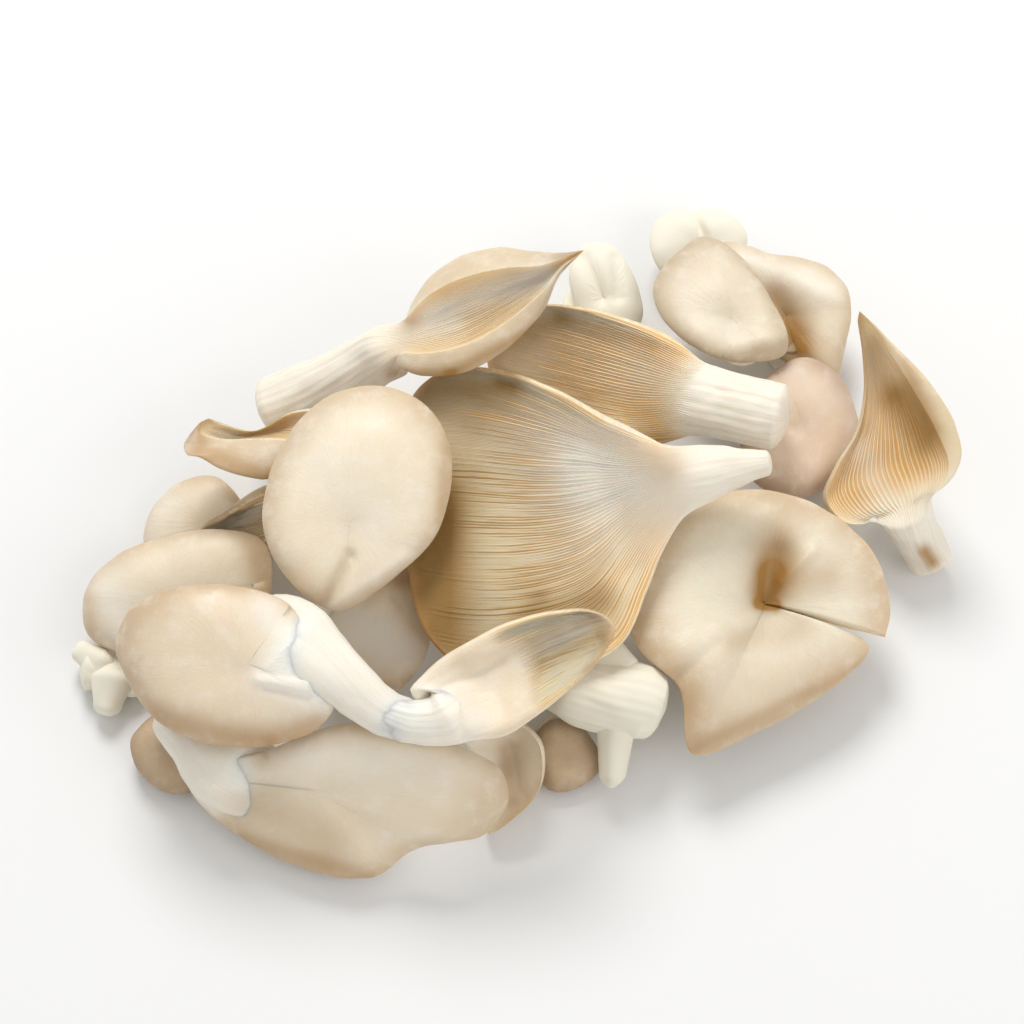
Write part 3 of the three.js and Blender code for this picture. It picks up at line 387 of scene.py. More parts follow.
class Cap(Sheet):
    """A round cap whose lines arch from its crown to its rim. A split cap's end at its slit."""

    def __init__(self, plan, settings):
        super().__init__(plan, settings, not plan.get("split"))
        self.crown = np.array(plan["crown"], float)
        self.around = self.rim.lengths[-1]
        self.marks = [math.radians(curl) for curl in self.marks]
        if self.closed:
            self.marks.append(self.marks[0])
        self.settle()

    def length(self, at):
        return np.linalg.norm(self.rim.at(at) - self.crown, axis=-1)

    def middle(self, u, at):
        rim = self.rim.at(at)
        line = rim - self.crown
        reach = np.linalg.norm(line, axis=-1, keepdims=True)
        out = unit(line - (line @ self.smooth)[..., None] * self.smooth)
        curl = self.mark(at)[..., None]
        start = (out + self.smooth * self.plan["rise"]) * reach
        end = (out * np.cos(curl) + self.smooth * np.sin(curl)) * reach
        u = u[..., None]
        point = self.crown * (2 * u**3 - 3 * u**2 + 1) + start * (u**3 - 2 * u**2 + u)
        return point + rim * (3 * u**2 - 2 * u**3) + end * (u**3 - u**2)

    def half(self, u, at):
        flesh = self.edge + (self.crown_half - self.edge) * (1 - u**2)
        flesh = flesh * rounded((1 - u) / self.lip(at))
        if self.closed:
            return flesh
        margin = self.edge * LIP_ROUNDING / np.maximum(self.around * u, TINY)
        margin = np.minimum(margin, WIDEST_MARGIN)
        return flesh * np.where(u > 0, rounded(np.minimum(at, 1 - at) / margin), 1)


class Side(Sheet):
    """A cap seen from its gills, spread between two sides that leave the stem, and the rim."""

    def __init__(self, plan, settings):
        super().__init__(plan, settings, False)
        self.early, self.late = plan["corners"]
        self.first, self.last = self.rim.at(np.array([0.0, 1.0]))

    def chord(self, at):
        """The line beside the stem, from one side to the other."""
        at = at[..., None]
        return self.first * (1 - at) + self.last * at

    def end(self, at):
        """The place on the rim where a line from the stem ends."""
        return self.early + (self.late - self.early) * at

    def sides(self, u):
        """The places on the rim where a row across starts and stops."""
        return self.early * u, 1 - (1 - self.late) * u

    def length(self, at):
        return np.linalg.norm(self.rim.at(self.end(at)) - self.chord(at), axis=-1)


class Fan(Side):
    """A fan between the stem's end, its two sides and the rim opposite, bowed to an arc across."""

    def __init__(self, plan, settings):
        super().__init__(plan, settings)
        self.corner_a, self.corner_b = self.rim.at(np.array([self.early, self.late]))
        flank = (self.first + self.last) / 2
        self.bend = (np.array(plan["stem"][-1][:3], float) - flank) * CHORD_BEND
        chord = np.linalg.norm(self.last - self.first)
        self.joint = min(plan["stem"][-1][3] * self.plan["flat"], chord * JOINT_SHARE)
        at = np.linspace(0, 1, RIM_SAMPLES)
        self.turn = 1.0
        self.turn = np.sign((self.outward(at) * (self.rim.at(at) - flank)).sum())
        self.settle()

    def outward(self, place):
        """Square to the rim's curve, away from the stem."""
        before = self.rim.at(np.maximum(place - RIM_STEP, 0))
        after = self.rim.at(np.minimum(place + RIM_STEP, 1))
        return unit(np.cross(after - before, self.smooth)) * self.turn

    def chord(self, at):
        return super().chord(at) + self.bend * (4 * at * (1 - at))[..., None]

    def middle(self, u, at):
        place_a, place_b = self.sides(u)
        place_end = self.end(at)
        side_a, side_b = self.rim.at(place_a), self.rim.at(place_b)
        rows, columns = u[..., None], at[..., None]
        point = side_a * (1 - columns) + side_b * columns
        point = point + self.chord(at) * (1 - rows) + self.rim.at(place_end) * rows
        point = point - super().chord(at) * (1 - rows)
        point = point - self.corner_a * (1 - columns) * rows - self.corner_b * columns * rows
        cross = 2 * at - 1
        width = side_b - side_a
        width = width - (width @ self.smooth)[..., None] * self.smooth
        half = np.linalg.norm(width, axis=-1) / 2
        bulge = np.where(cross < 0, self.mark(place_a), self.mark(place_b))
        full = np.pi - np.arcsin(half / (half + np.maximum(bulge, TINY)))
        angle = np.maximum(np.where(bulge > 0, full, FAN_ROLL), FAN_ROLL)
        spread = half * np.sin(angle * cross) / np.sin(angle) - half * cross
        bow = (np.cos(angle * cross) - np.cos(angle)) / (1 - np.cos(angle))
        fade = smoothstep(u, 0, BOWL_START) * (1 - u**4)
        point = point + unit(width) * (spread * fade)[..., None]
        point = point + self.smooth * (self.plan["depth"] * bow * fade)[..., None]
        inward = (1 - u) / BULGE_PLACE
        swell = self.mark(place_end) * inward * np.exp(1 - inward) * (1 - cross**4)
        return point + self.outward(place_end) * swell[..., None]

    def half(self, u, at):
        cross = 2 * at - 1
        side_a, side_b = self.sides(u)
        breadth = np.linalg.norm(self.rim.at(side_a) - self.rim.at(side_b), axis=-1)
        breadth = np.maximum(breadth, TINY)
        flare = (self.joint - self.crown_half) * np.exp(-u * self.length(at) / STEM_FLARE)
        plump = (self.crown_half - self.edge) * (1 - u**2) * (1 - cross**4)
        margin = np.minimum(self.edge * LIP_ROUNDING / breadth, WIDEST_FAN_MARGIN)
        even = rounded(np.minimum(at, 1 - at) / margin)
        oval = np.sqrt(np.maximum(1 - cross**2, 0))
        side = oval + (even - oval) * smoothstep(u, 0, OVAL_TO)
        thick = np.minimum(self.edge + plump + flare, breadth * BREADTH_SHARE)
        return thick * side * rounded((1 - u) / self.lip(at))


class Curl(Side):
    """A cap rolled in to a trough: a hollow with gills in a fuller outside, hung from the rim."""

    def frame(self, u, at):
        """The middle between the sides, the way across, half the width, the bulge and the depth."""
        place_a, place_b = self.sides(u)
        side_a, side_b = self.rim.at(place_a), self.rim.at(place_b)
        width = side_b - side_a
        half = np.linalg.norm(width, axis=-1) / 2
        bulge = np.where(at < 0.5, self.mark(place_a), self.mark(place_b))
        opening = TROUGH_LEAST + (1 - TROUGH_LEAST) * smoothstep(u, 0, TROUGH_START)
        deep = self.plan["depth"] * opening
        return (side_a + side_b) / 2, unit(width), half, np.maximum(bulge, LEAST_BULGE), deep

    def trough(self, centre, way, across, down):
        return centre + way * across[..., None] + self.smooth * down[..., None]

    def middle(self, u, at):
        centre, way, half, _, deep = self.frame(u, at)
        turn = (at - 0.5) * np.pi
        return self.trough(centre, way, half * np.sin(turn), deep * (1 - u**3) * np.cos(turn))

    def outside(self, u, at):
        centre, way, half, bulge, deep = self.frame(u, at)
        taper = np.sqrt(np.maximum(1 - u**4, 0))
        reach = half + bulge * taper
        angle = np.pi - np.arcsin(half / (reach + TINY))
        cross = 2 * at - 1
        bow = (np.cos(angle * cross) - np.cos(angle)) / (1 - np.cos(angle))
        down = (deep + TROUGH_WALL) * taper * bow
        return self.trough(centre, way, reach * np.sin(angle * cross), down)

    def faces(self, u, at, crest):
        stand = crest * self.gill_room(u, at) * np.sin(np.pi * at) * (1 - u**3)
        inside = self.middle(u, at) - self.smooth * stand[..., None]
        return inside, self.outside(u, at), np.broadcast_to(self.smooth, inside.shape)


# Small cap low down at the left end
CAP_SHADED = dict(
    name="cap_shaded", kind=Cap, look="brown", gills=14, rows=26, place=(-71, -58, -0.1),
    crown=(1, 1.5, 6),
    stem=[(3, 6.5, 0, 3.5), (2.5, 6.5, 2.5, 4), (2, 5.5, 5.5, 4.5)],
    rim=[
        (0.5, 8.5, 6, -30), (-3.5, 8, 5.5, -50), (-8, 3, 5, -50), (-6.5, -3, 4, -50),
        (-1, -7.5, 3, -50), (5, -7.5, 3, -50), (9, -2.5, 4, -40), (7, 4.5, 5.5, -30),
    ],
)

# Pale cap at the back of the left end
CAP_LEFT_BACK = dict(
    name="cap_left_back", kind=Cap, look="cream", gills=14, rows=26, place=(-68, -6, 0),
    crown=(4, -1, 7),
    stem=[(13.5, -3.5, 0, 3.5), (12.5, -3.5, 4, 4), (10, -2.5, 7, 4.5)],
    rim=[
        (10.5, 1.5, 9, -30), (3.5, 10, 9, -50), (-5.5, 8.5, 7, -60), (-11, 1.5, 5, -60),
        (-10.5, -6.5, 4, -50), (0.5, -9.5, 4, -40), (9.5, -6.5, 6, -30),
    ],
    stains_and_painted_light=[(150, 540, 165, 500, 16, -0.4)],
)

# Thin gilled mushroom on its back beside it
WEDGE = dict(
    name="wedge", kind=Fan, look="gilled", gills=18, rows=34, depth=3, corners=(0.33, 0.62),
    place=(-54.7, -10.4, 2.9),
    stem=[(15, 5, 12, 3.2), (12, 4, 13, 3.9), (9, 3, 14, 4.5)],
    rim=[
        (7.5, 6, 17), (3, 5.5, 18), (-4, 2, 16), (-11.5, -1, 12), (-6.5, -4.5, 11), (3, -5, 11),
        (9, -1, 12),
    ],
    stains_and_painted_light=[(235, 525, 280, 505, 12, -0.3)],
)

# Knobbly cut base at the left edge
STUB = dict(
    name="stub", kind=Cap, look="white", gills=14, rows=26, flesh=3.5, place=(-80, -42, -0.1),
    crown=(-0.5, 0, 4),
    stem=[(-10, 2.5, 4.5, 4.4), (-6.5, 2.5, 4, 4), (-2, 1.5, 3, 3.9)],
    rim=[
        (-1.5, 3.5, 4, -30), (1.5, 2, 4, -40), (2.5, -0.5, 3.5, -50), (1, -3, 3.5, -50),
        (-2, -2.5, 3.5, -30),
    ],
    lobes=[((-4.5, -1, 5), (-5, -4.5, 4), 3), ((-10.5, 6, 5), (-7.5, 4, 5), 2.8)],
    stains_and_painted_light=[(92, 668, 96, 672, 5, 0.5), (104, 690, 108, 696, 5, 0.3)],
)

# Broad cap at the left end
CAP_LEFT = dict(
    name="cap_left", kind=Cap, look="cream", gills=24, rows=36, place=(-70.9, -25.4, 0.8),
    crown=(3, -2, 14),
    stem=[(7, -3, 0, 4.5), (8, -3, 6, 5), (8.5, -3, 13, 5.5)],
    rim=[
        (20.5, 2, 14, -20), (18, 10.5, 16, -40), (8, 12.5, 17, -50), (-3.5, 11.5, 15, -50),
        (-13.5, 8, 12, -60), (-19.5, 1.5, 8, -70), (-19, -6.5, 6, -60), (-10, -12, 7, -50),
        (3.5, -14, 8, -40), (14, -13, 9, -30),
    ],
    stains_and_painted_light=[
        (108, 590, 122, 620, 22, -0.6), (250, 545, 266, 600, 12, 0.3), (90, 600, 92, 630, 8, 0.25),
    ],
)

# Small brownish cap at the front
CAP_BROWN = dict(
    name="cap_brown", kind=Cap, look="brown", gills=14, rows=26, place=(11, -57.7, -0.8),
    crown=(0, 0.5, 5.5),
    stem=[(-0.5, 3.5, 0, 3.5), (-0.5, 3.5, 2, 4), (-0.5, 3, 5.5, 4.5)],
    rim=[
        (-3, 6.5, 6, -40), (-6.5, 2.5, 5, -50), (-6, -3, 3.5, -50), (-3, -7.5, 3, -50),
        (3, -7, 3, -50), (7.5, -3, 4, -50), (6, 2, 5, -50), (2, 6.5, 6, -40),
    ],
)

# Cap curled up on itself at the front
CURL_BOTTOM = dict(
    name="curl_bottom", kind=Curl, look="cream", gills=18, rows=36, depth=3, gills_from=0.8,
    corners=(0.55, 0.62), place=(-1, -64.7, -0.9),
    stem=[(-10, 10.5, 6, 3.2), (-8, 9, 6.5, 3.6), (-6, 7.5, 7, 4)],
    rim=[
        (-3.5, 9, 10), (1.5, 10.5, 12, 0.5), (6.5, 6, 12, 1), (6.5, -3, 10, 1), (1, -8.5, 7, 0.5),
        (-3.5, -10.5, 5), (-4, -3, 4), (-5, 2.5, 5),
    ],
    folds=[(515, 745, 520, 790, 9, -1.6)],
    # The ochre in the curl is painted shade in its hollow
    stains_and_painted_light=[(505, 750, 512, 800, 9, 0.5)],
)

# Long low cap along the front
CAP_BOTTOM = dict(
    name="cap_bottom", kind=Cap, look="cream", gills=36, rows=40, flow=True, flat=0.6,
    place=(-30.8, -71.2, 3.1), crown=(-8.5, 1, 13.5),
    stem=[(-41.5, 17.5, 9, 2.5), (-33, 11, 12, 6.5), (-25.5, 5.5, 12, 9)],
    rim=[
        (-19.5, 7.5, 17, -20), (-12, 9.5, 20, -40), (-2, 12, 21, -50), (10.5, 10.5, 21, -50),
        (21.5, 7.5, 19, -50), (28.5, 4, 16, -60), (30, -1, 12, -60), (25, -6, 7, -60),
        (14, -7.5, 4.5, -50), (9, -9.5, 3, -50), (2.5, -13.5, 1, -50), (-10.5, -12, 1, -50),
        (-23, -6.5, 2.5, -50), (-32.5, 1.5, 5, -40), (-35, 6.5, 9, -20),
    ],
    folds=[(300, 765, 420, 775, 40, 0.8), (196, 770, 240, 800, 14, -0.8)],
    stains_and_painted_light=[
        (170, 735, 240, 770, 18, -0.7), (290, 752, 470, 762, 26, -0.5),
        (245, 800, 330, 840, 26, 0.35), (245, 842, 370, 878, 11, 0.5),
        (462, 760, 485, 800, 14, 0.15),
    ],
)

# White cap at the back
CAP_TOP_WHITE = dict(
    name="cap_top_white", kind=Cap, look="white", gills=18, rows=30, rise=0.2,
    place=(22, 49.9, 0.2), crown=(-1.5, -1.5, 10.5),
    stem=[(-2.5, -4, 0, 4), (-3.5, -3.5, 4.5, 5), (-4.5, -3.5, 10, 6)],
    rim=[
        (-9, 3, 13, -40), (-5.5, 10, 14, -50), (0.5, 10, 13, -50), (5, 4, 11, -50),
        (7, -4.5, 8, -50), (4, -10.5, 6, -40), (-2.5, -12.5, 6, -30),
    ],
    folds=[(585, 262, 600, 300, 8, -1.2), (612, 262, 618, 300, 6, -0.9)],
    # The ochre on the two dents is painted shade in their creases
    stains_and_painted_light=[(585, 262, 600, 300, 7, 0.35), (612, 262, 618, 300, 5, 0.3)],
)

# Two-lobed cap at the back right corner
CAP_BILOBED = dict(
    name="cap_bilobed", kind=Cap, look="white", gills=18, rows=30, place=(42, 66.1, -0.1),
    crown=(0.5, -2, 8.5),
    stem=[(2.5, -8, 0, 4.5), (2, -7.5, 4.5, 5.5), (1.5, -6.5, 8, 6.5)],
    rim=[
        (-6.5, -10.5, 8, -30), (-10, -5.5, 9, -60), (-9.5, 2.5, 9, -60), (-4.5, 6.5, 9, -60),
        (-0.5, 6.5, 8, -60), (3.5, 6.5, 9, -60), (9, 4, 9, -60), (11.5, -0.5, 8, -50),
        (8.5, -7, 8, -30),
    ],
    folds=[(692, 214, 704, 238, 5, -1.2)],
    # The ochre on the dent is painted shade in its crease
    stains_and_painted_light=[(692, 214, 704, 240, 5, 0.4)],
)

# Pale cap with a hollow at the back right
CAP_RIGHT_BACK = dict(
    name="cap_right_back", kind=Cap, look="cream", gills=24, rows=36, rise=0.3,
    place=(63.9, 43.8, 0.4), crown=(-3, -0.5, 11),
    stem=[(-1, -5, 0, 4.5), (-1.5, -4, 4, 5.2), (-2, -3.5, 10, 6)],
    rim=[
        (-9, -7, 12, 0), (-13.5, 1, 15, -10), (-16.5, 15.5, 16, -30), (-6, 12.5, 16, -40),
        (5, 10.5, 15, -50), (10.5, 5.5, 14, -50), (11.5, -1, 12, -50), (9.5, -10, 10, -50),
        (7.5, -16.5, 8, -40), (1.5, -13.5, 7, -20),
    ],
    folds=[(775, 300, 800, 340, 20, -1.6), (745, 262, 835, 300, 12, 0.8)],
    # The ochre in the hollow is painted shade, and the white along the top ridge a painted
    # highlight
    stains_and_painted_light=[
        (776, 300, 800, 345, 19, 0.75), (795, 330, 815, 370, 18, 0.35),
        (740, 255, 830, 290, 14, -0.5),
    ],
)

# Round cap at the right
CAP_PINK = dict(
    name="cap_pink", kind=Cap, look="pink", gills=24, rows=36, place=(63.8, 15.2, 1.4),
    crown=(-1, 0, 12),
    stem=[(-1, 4, 0, 4), (-1.5, 3.5, 5, 4.5), (-2, 2.5, 12.5, 5)],
    rim=[
        (-6.5, 11, 15, -30), (-12.5, 1.5, 15, -50), (-14, -9, 11, -50), (-9, -14.5, 8, -50),
        (-0.5, -15.5, 7, -50), (8, -10, 6, -50), (12, -0.5, 7, -50), (11, 7, 9, -50),
        (6.5, 13.5, 12, -40), (0.5, 15, 14, -30),
    ],
    folds=[(770, 372, 790, 375, 12, 0.4)],
    stains_and_painted_light=[(795, 375, 830, 400, 16, -0.3)],
)

# Mushroom on its side at the right end, gills to the front
HALF_RIGHT = dict(
    name="half_right", kind=Curl, look="gilled", gills=36, rows=50, depth=5, corners=(0.465, 0.495),
    place=(79.6, 8.6, 8.2),
    stem=[(11, -22.5, -4, 4.8), (6.5, -17.5, 3, 5.2), (3, -15, 10, 6.5)],
    rim=[
        (7, -16.5, 14, 1), (10.5, -15, 17, 2), (12, -10.5, 19, 3.5), (9.5, -3.5, 21, 5),
        (5, 5, 23, 5), (1, 13.5, 23, 3.5), (-2.5, 21.5, 22, 1.5), (-5, 26.5, 19), (-3.5, 20.5, 15),
        (-3, 11, 12), (-5, 2, 10), (-9.5, -5.5, 8), (-12, -12, 5), (-8, -17, 4), (-1, -18, 6),
    ],
    # The deep ochre in the hollow inside the rim and on the stem's cut end is painted shade
    stains_and_painted_light=[
        (900, 395, 925, 440, 18, 0.85), (872, 345, 885, 400, 13, 0.4),
        (905, 360, 935, 430, 8, 0.35), (860, 450, 885, 500, 16, -0.4), (925, 552, 932, 562, 8, 0.9),
    ],
)

# Oval cap at the back right
CAP_OVAL_RIGHT = dict(
    name="cap_oval_right", kind=Cap, look="greige", gills=24, rows=36, place=(46.1, 40.8, -1.3),
    crown=(1.5, -4, 22.5),
    stem=[(5, -7, 13, 3.2), (4.5, -7.5, 16.5, 3.6), (4, -9.5, 22, 4)],
    rim=[
        (-0.5, -14, 22, -30), (-7.5, -10, 22, -50), (-13.5, -1.5, 20, -50), (-14.5, 6.5, 19, -50),
        (-9.5, 14.5, 19, -50), (-3, 19, 19, -50), (3.5, 14, 21, -50), (9.5, 3.5, 22, -50),
        (13.5, -8, 22, -50), (13, -12.5, 22, -50), (8, -14.5, 22, -30),
    ],
    folds=[(742, 362, 784, 350, 6, -0.9), (735, 352, 780, 340, 7, 0.5)],
    stains_and_painted_light=[(690, 300, 720, 330, 24, -0.25)],
)

# Thick knobbly stem at the front
STEM_KNOB = dict(
    name="stem_knob", kind=Curl, look="white", gills=14, rows=30, depth=3, corners=(0.5, 0.62),
    place=(2.9, -44.3, 3.2),
    stem=[(26, -6, 9, 7.4), (23.5, -5.5, 10, 8), (15.5, -4.5, 11, 7.5), (5.5, -1, 10, 7)],
    rim=[(7, 1.5, 12), (1, 5.5, 11), (-4, 3, 9), (-4, -3, 8), (2, -5, 8)],
    lobes=[((18.5, -11, 8), (18, -19, 3.5), 2.8), ((16.5, 3, 14), (20, 0, 14), 3.2)],
    folds=[
        (585, 672, 600, 690, 7, 0.9), (620, 680, 628, 700, 7, 0.8), (560, 700, 590, 705, 6, -0.6),
        (640, 690, 650, 715, 7, 0.6),
    ],
    # The ochre beside the dent and low on the stem is painted shade
    stains_and_painted_light=[(560, 695, 580, 712, 9, 0.35), (600, 715, 612, 728, 6, 0.3)],
)

# Wide cap split from its navel to the right edge
CAP_SPLIT = dict(
    name="cap_split", kind=Cap, look="split", gills=44, rows=56, split=True, rise=0.5,
    place=(53.8, -31, 2.2), crown=(-1, 3, 11),
    stem=[(1, -0.5, 0, 5.2), (0, 1, 6, 5), (-1, 3.5, 10.5, 4.5)],
    rim=[
        (24, -5, 12, -10), (25.5, 1, 12, -20), (23, 11.5, 15, -20), (17, 18.5, 17, -20),
        (7, 24.5, 18, -20), (-4.5, 26, 19, -20), (-16.5, 22, 20, -20), (-26, 12.5, 20, -20),
        (-30.5, 0.5, 19, -20), (-28, -10, 18, -20), (-19.5, -18, 16, -20), (-17, -30, 10, -20),
        (-4.5, -25.5, 9, -20), (10, -17.5, 10, -20), (20.5, -7.5, 11, -20), (19, -5, 12, -10),
    ],
    folds=[
        (768, 592, 775, 560, 19, -3.2), (782, 580, 812, 553, 6, 0.8), (672, 684, 712, 648, 6, -0.5),
        (664, 670, 700, 638, 14, 0.5), (700, 540, 740, 600, 26, 0.8),
    ],
    # The ochre round the navel and over the lower left is painted shade
    stains_and_painted_light=[
        (764, 598, 768, 575, 12, 0.6), (768, 590, 776, 550, 24, 0.55),
        (772, 560, 782, 530, 24, 0.25), (785, 580, 825, 575, 20, 0.4),
        (735, 640, 800, 628, 15, 0.3), (759, 604, 776, 606, 5, 1), (690, 752, 866, 662, 7, 0.3),
        (640, 640, 700, 730, 26, 0.15), (700, 705, 800, 675, 40, 0.22),
    ],
)

# Warm white cap under the middle
CAP_CENTRE = dict(
    name="cap_centre", kind=Cap, look="warm", gills=24, rows=36, place=(-27.2, -34.9, -2.4),
    crown=(-3, 1, 18.5),
    stem=[(-9, 6.5, 2, 4), (-8.5, 7, 8.5, 5), (-8, 6.5, 16.5, 6)],
    rim=[
        (-3.5, 12, 19, -30), (5.5, 14, 20, -50), (10.5, 9, 18, -50), (10.5, 1, 16, -50),
        (7, -7.5, 13, -50), (0.5, -12.5, 12, -50), (-7.5, -11.5, 12, -50), (-13, -5.5, 13, -40),
        (-12.5, 2.5, 15, -30),
    ],
    # The white patch is painted light where the caps above shade it, and the ochre stripes painted
    # shadow of the fan's ribs
    stains_and_painted_light=[
        (350, 625, 400, 650, 30, -0.8), (395, 580, 425, 575, 10, 0.4), (392, 600, 425, 640, 5, 0.3),
        (360, 688, 410, 682, 9, 0.35),
    ],
)

# Gilled fan at the back, stem to the right
FAN_UPPER = dict(
    name="fan_upper", kind=Fan, look="gilled", gills=44, rows=56, flat=0.8, depth=5,
    corners=(0.36, 0.66), place=(17.2, 24.4, -4.3),
    stem=[(39.5, -14.5, 30, 7), (30, -11.5, 29, 7.3), (22, -8, 27, 8)],
    rim=[
        (25, -1.5, 29), (17, 5, 30), (8.5, 9, 30), (-2.5, 12.5, 30), (-12, 13.5, 29),
        (-20.5, 9, 26), (-22.5, 2.5, 22), (-15.5, -5, 20), (-4.5, -11.5, 20), (10.5, -16.5, 21),
        (21, -16, 24),
    ],
    # The ochre at the left end and along the lower edge is painted shade, and the white near the
    # stem painted light
    stains_and_painted_light=[
        (500, 345, 560, 318, 16, 0.55), (560, 318, 650, 345, 9, 0.35), (560, 428, 680, 443, 9, 0.6),
        (640, 370, 700, 400, 26, -0.4), (500, 380, 530, 395, 14, 0.4),
    ],
)

# Largest gilled fan, over the middle, stem to the right
FAN_LARGE = dict(
    name="fan_large", kind=Fan, look="gilled", gills=64, rows=72, flat=0.8, depth=7,
    corners=(0.25, 0.66), place=(5.8, -14.7, 7.3),
    stem=[(47, 9, 28, 2.5), (41, 8.5, 27, 4.2), (32.5, 7, 26, 6.5)],
    rim=[
        (27, 12, 28), (14.5, 17.5, 30), (4, 23.5, 31), (-8.5, 29.5, 30), (-20.5, 31.5, 26),
        (-27.5, 26.5, 22), (-29, 11, 20), (-27.5, -9.5, 19), (-23, -25.5, 17), (-12.5, -33.5, 16),
        (4, -33.5, 17), (16.5, -27.5, 19), (21.5, -17, 21), (25.5, -8, 23), (31, 0.5, 25),
    ],
    folds=[(440, 650, 520, 610, 26, -1.2)],
    # The ochre on the left and along the top and lower edges is painted shade, on the left the
    # shadow of cap_oval, and the white near the stem painted light
    stains_and_painted_light=[
        (425, 480, 425, 650, 30, 0.9), (455, 500, 460, 650, 30, 0.6), (480, 660, 600, 600, 20, 0.7),
        (430, 390, 510, 385, 16, 0.7), (500, 382, 600, 418, 7, 0.35),
        (600, 470, 680, 500, 48, -0.85), (560, 440, 600, 530, 44, -0.45),
        (500, 640, 540, 600, 10, 0.4),
    ],
)

# Cap rolled in over its gills, stem down to the left
CURL_TOP = dict(
    name="curl_top", kind=Curl, look="rolled", gills=36, rows=56, depth=7, corners=(0.465, 0.485),
    place=(-5.9, 27.5, 2.6),
    stem=[(-46.5, -10, 12, 7.2), (-33.5, -6.5, 17, 6.6), (-23.5, -4, 24, 6), (-17.5, -4.5, 31, 6)],
    rim=[
        (-17.5, -1, 34, 2), (-11.5, 3, 39, 4.5), (-4, 5.5, 42, 6), (4.5, 6.5, 44, 6.5),
        (12, 6, 46, 5), (21, 9, 47, 0.5), (16, 4.5, 47, 3.5), (12, -0.5, 46, 5), (4, -7, 44, 6),
        (-4.5, -10.5, 41, 6), (-13.5, -10, 37, 5), (-18.5, -7.5, 34, 3.5),
    ],
    # The white inside is painted light, and the ochre along the gap under the lip painted shade
    stains_and_painted_light=[
        (430, 312, 545, 275, 13, -0.8), (400, 335, 450, 325, 16, -0.7),
        (392, 374, 450, 374, 8, 0.6), (450, 374, 545, 322, 7, 0.6),
    ],
)

# Pointed cap on its side, rolled in, at the left
CURL_LEFT = dict(
    name="curl_left", kind=Curl, look="rolled", gills=24, rows=44, depth=5, corners=(0.47, 0.51),
    place=(-54.8, 6.8, 2.3),
    stem=[(25, -5, 12, 3.6), (19, -4.5, 17, 4.4), (13, 0, 22.5, 4.2)],
    rim=[
        (13.5, 4.5, 24), (7.5, 3.5, 24), (0, 0, 23), (-7, 1.5, 23, 1), (-10.5, 2, 25, 1),
        (-11, -1.5, 25, 8), (-7, -3.5, 26, 12), (-0.5, -3.5, 26, 13), (6, -3.5, 26, 12),
        (11.5, -4, 25, 8),
    ],
    # The ochre along the lower band is painted shade
    stains_and_painted_light=[
        (200, 452, 285, 482, 13, 0.6), (198, 425, 202, 440, 6, 0.3), (300, 425, 350, 400, 12, -0.5),
    ],
)

# Smooth oval cap on top
CAP_OVAL = dict(
    name="cap_oval", kind=Cap, look="cream", gills=30, rows=48, place=(-31.7, -13.7, 3.5),
    crown=(-1, -6, 33),
    stem=[(-4, -10.5, 15, 2.8), (-4, -11.5, 20, 3.4), (-3.5, -15, 30, 4)],
    rim=[
        (-9.5, -21, 27, -30), (-16.5, -13, 29, -50), (-19, -2.5, 31, -50), (-16, 10, 33, -50),
        (-8.5, 20, 35, -50), (1.5, 23.5, 36, -50), (12, 20.5, 36, -50), (18.5, 12, 34, -50),
        (19, 1.5, 32, -50), (15.5, -9, 30, -50), (7, -17, 28, -50), (-3, -23, 26, -30),
    ],
    folds=[(318, 614, 350, 560, 8, -1.4), (325, 612, 400, 560, 8, 0.7)],
    # The ochre in the crease by the tip is painted shade, and the white along the ridge beside it a
    # painted highlight
    stains_and_painted_light=[
        (318, 612, 345, 565, 7, 0.25), (330, 608, 410, 555, 10, -0.4), (446, 430, 440, 520, 6, 0.3),
        (330, 470, 380, 520, 34, -0.3),
    ],
)

# Broad smooth cap on top at the left, joined at the stem to the next
CAP_BIG_LEFT = dict(
    name="cap_big_left", kind=Cap, look="warm", gills=30, rows=48, flow=True, flat=0.5,
    place=(-57.7, -49.7, 6.4), crown=(5.5, -0.5, 28),
    stem=[
        (43, -11.5, 24, 3.4), (37.5, -11.5, 24.5, 4.3), (32.5, -10, 25, 4.6), (24.5, -4, 28, 5.4),
        (15, 4, 28.5, 8),
    ],
    rim=[
        (13.5, 10.5, 31, -20), (3, 14.5, 31, -50), (-8.5, 15, 30, -60), (-18, 13, 26, -60),
        (-22, 7, 22, -60), (-19, -2, 20, -60), (-12.5, -9.5, 19, -60), (-2, -14, 19, -60),
        (8, -15, 20, -60), (17.5, -12, 21, -60), (21, -7, 23, -50), (19, -5, 25, -30),
    ],
    folds=[(262, 682, 302, 688, 7, 0.9), (266, 690, 305, 698, 4, -0.5)],
    # The ochre along the lower edge is painted shade
    stains_and_painted_light=[
        (262, 682, 302, 690, 8, -0.8), (265, 612, 330, 672, 20, -0.6),
        (160, 718, 270, 744, 15, 0.45), (270, 742, 318, 722, 10, 0.3),
    ],
)

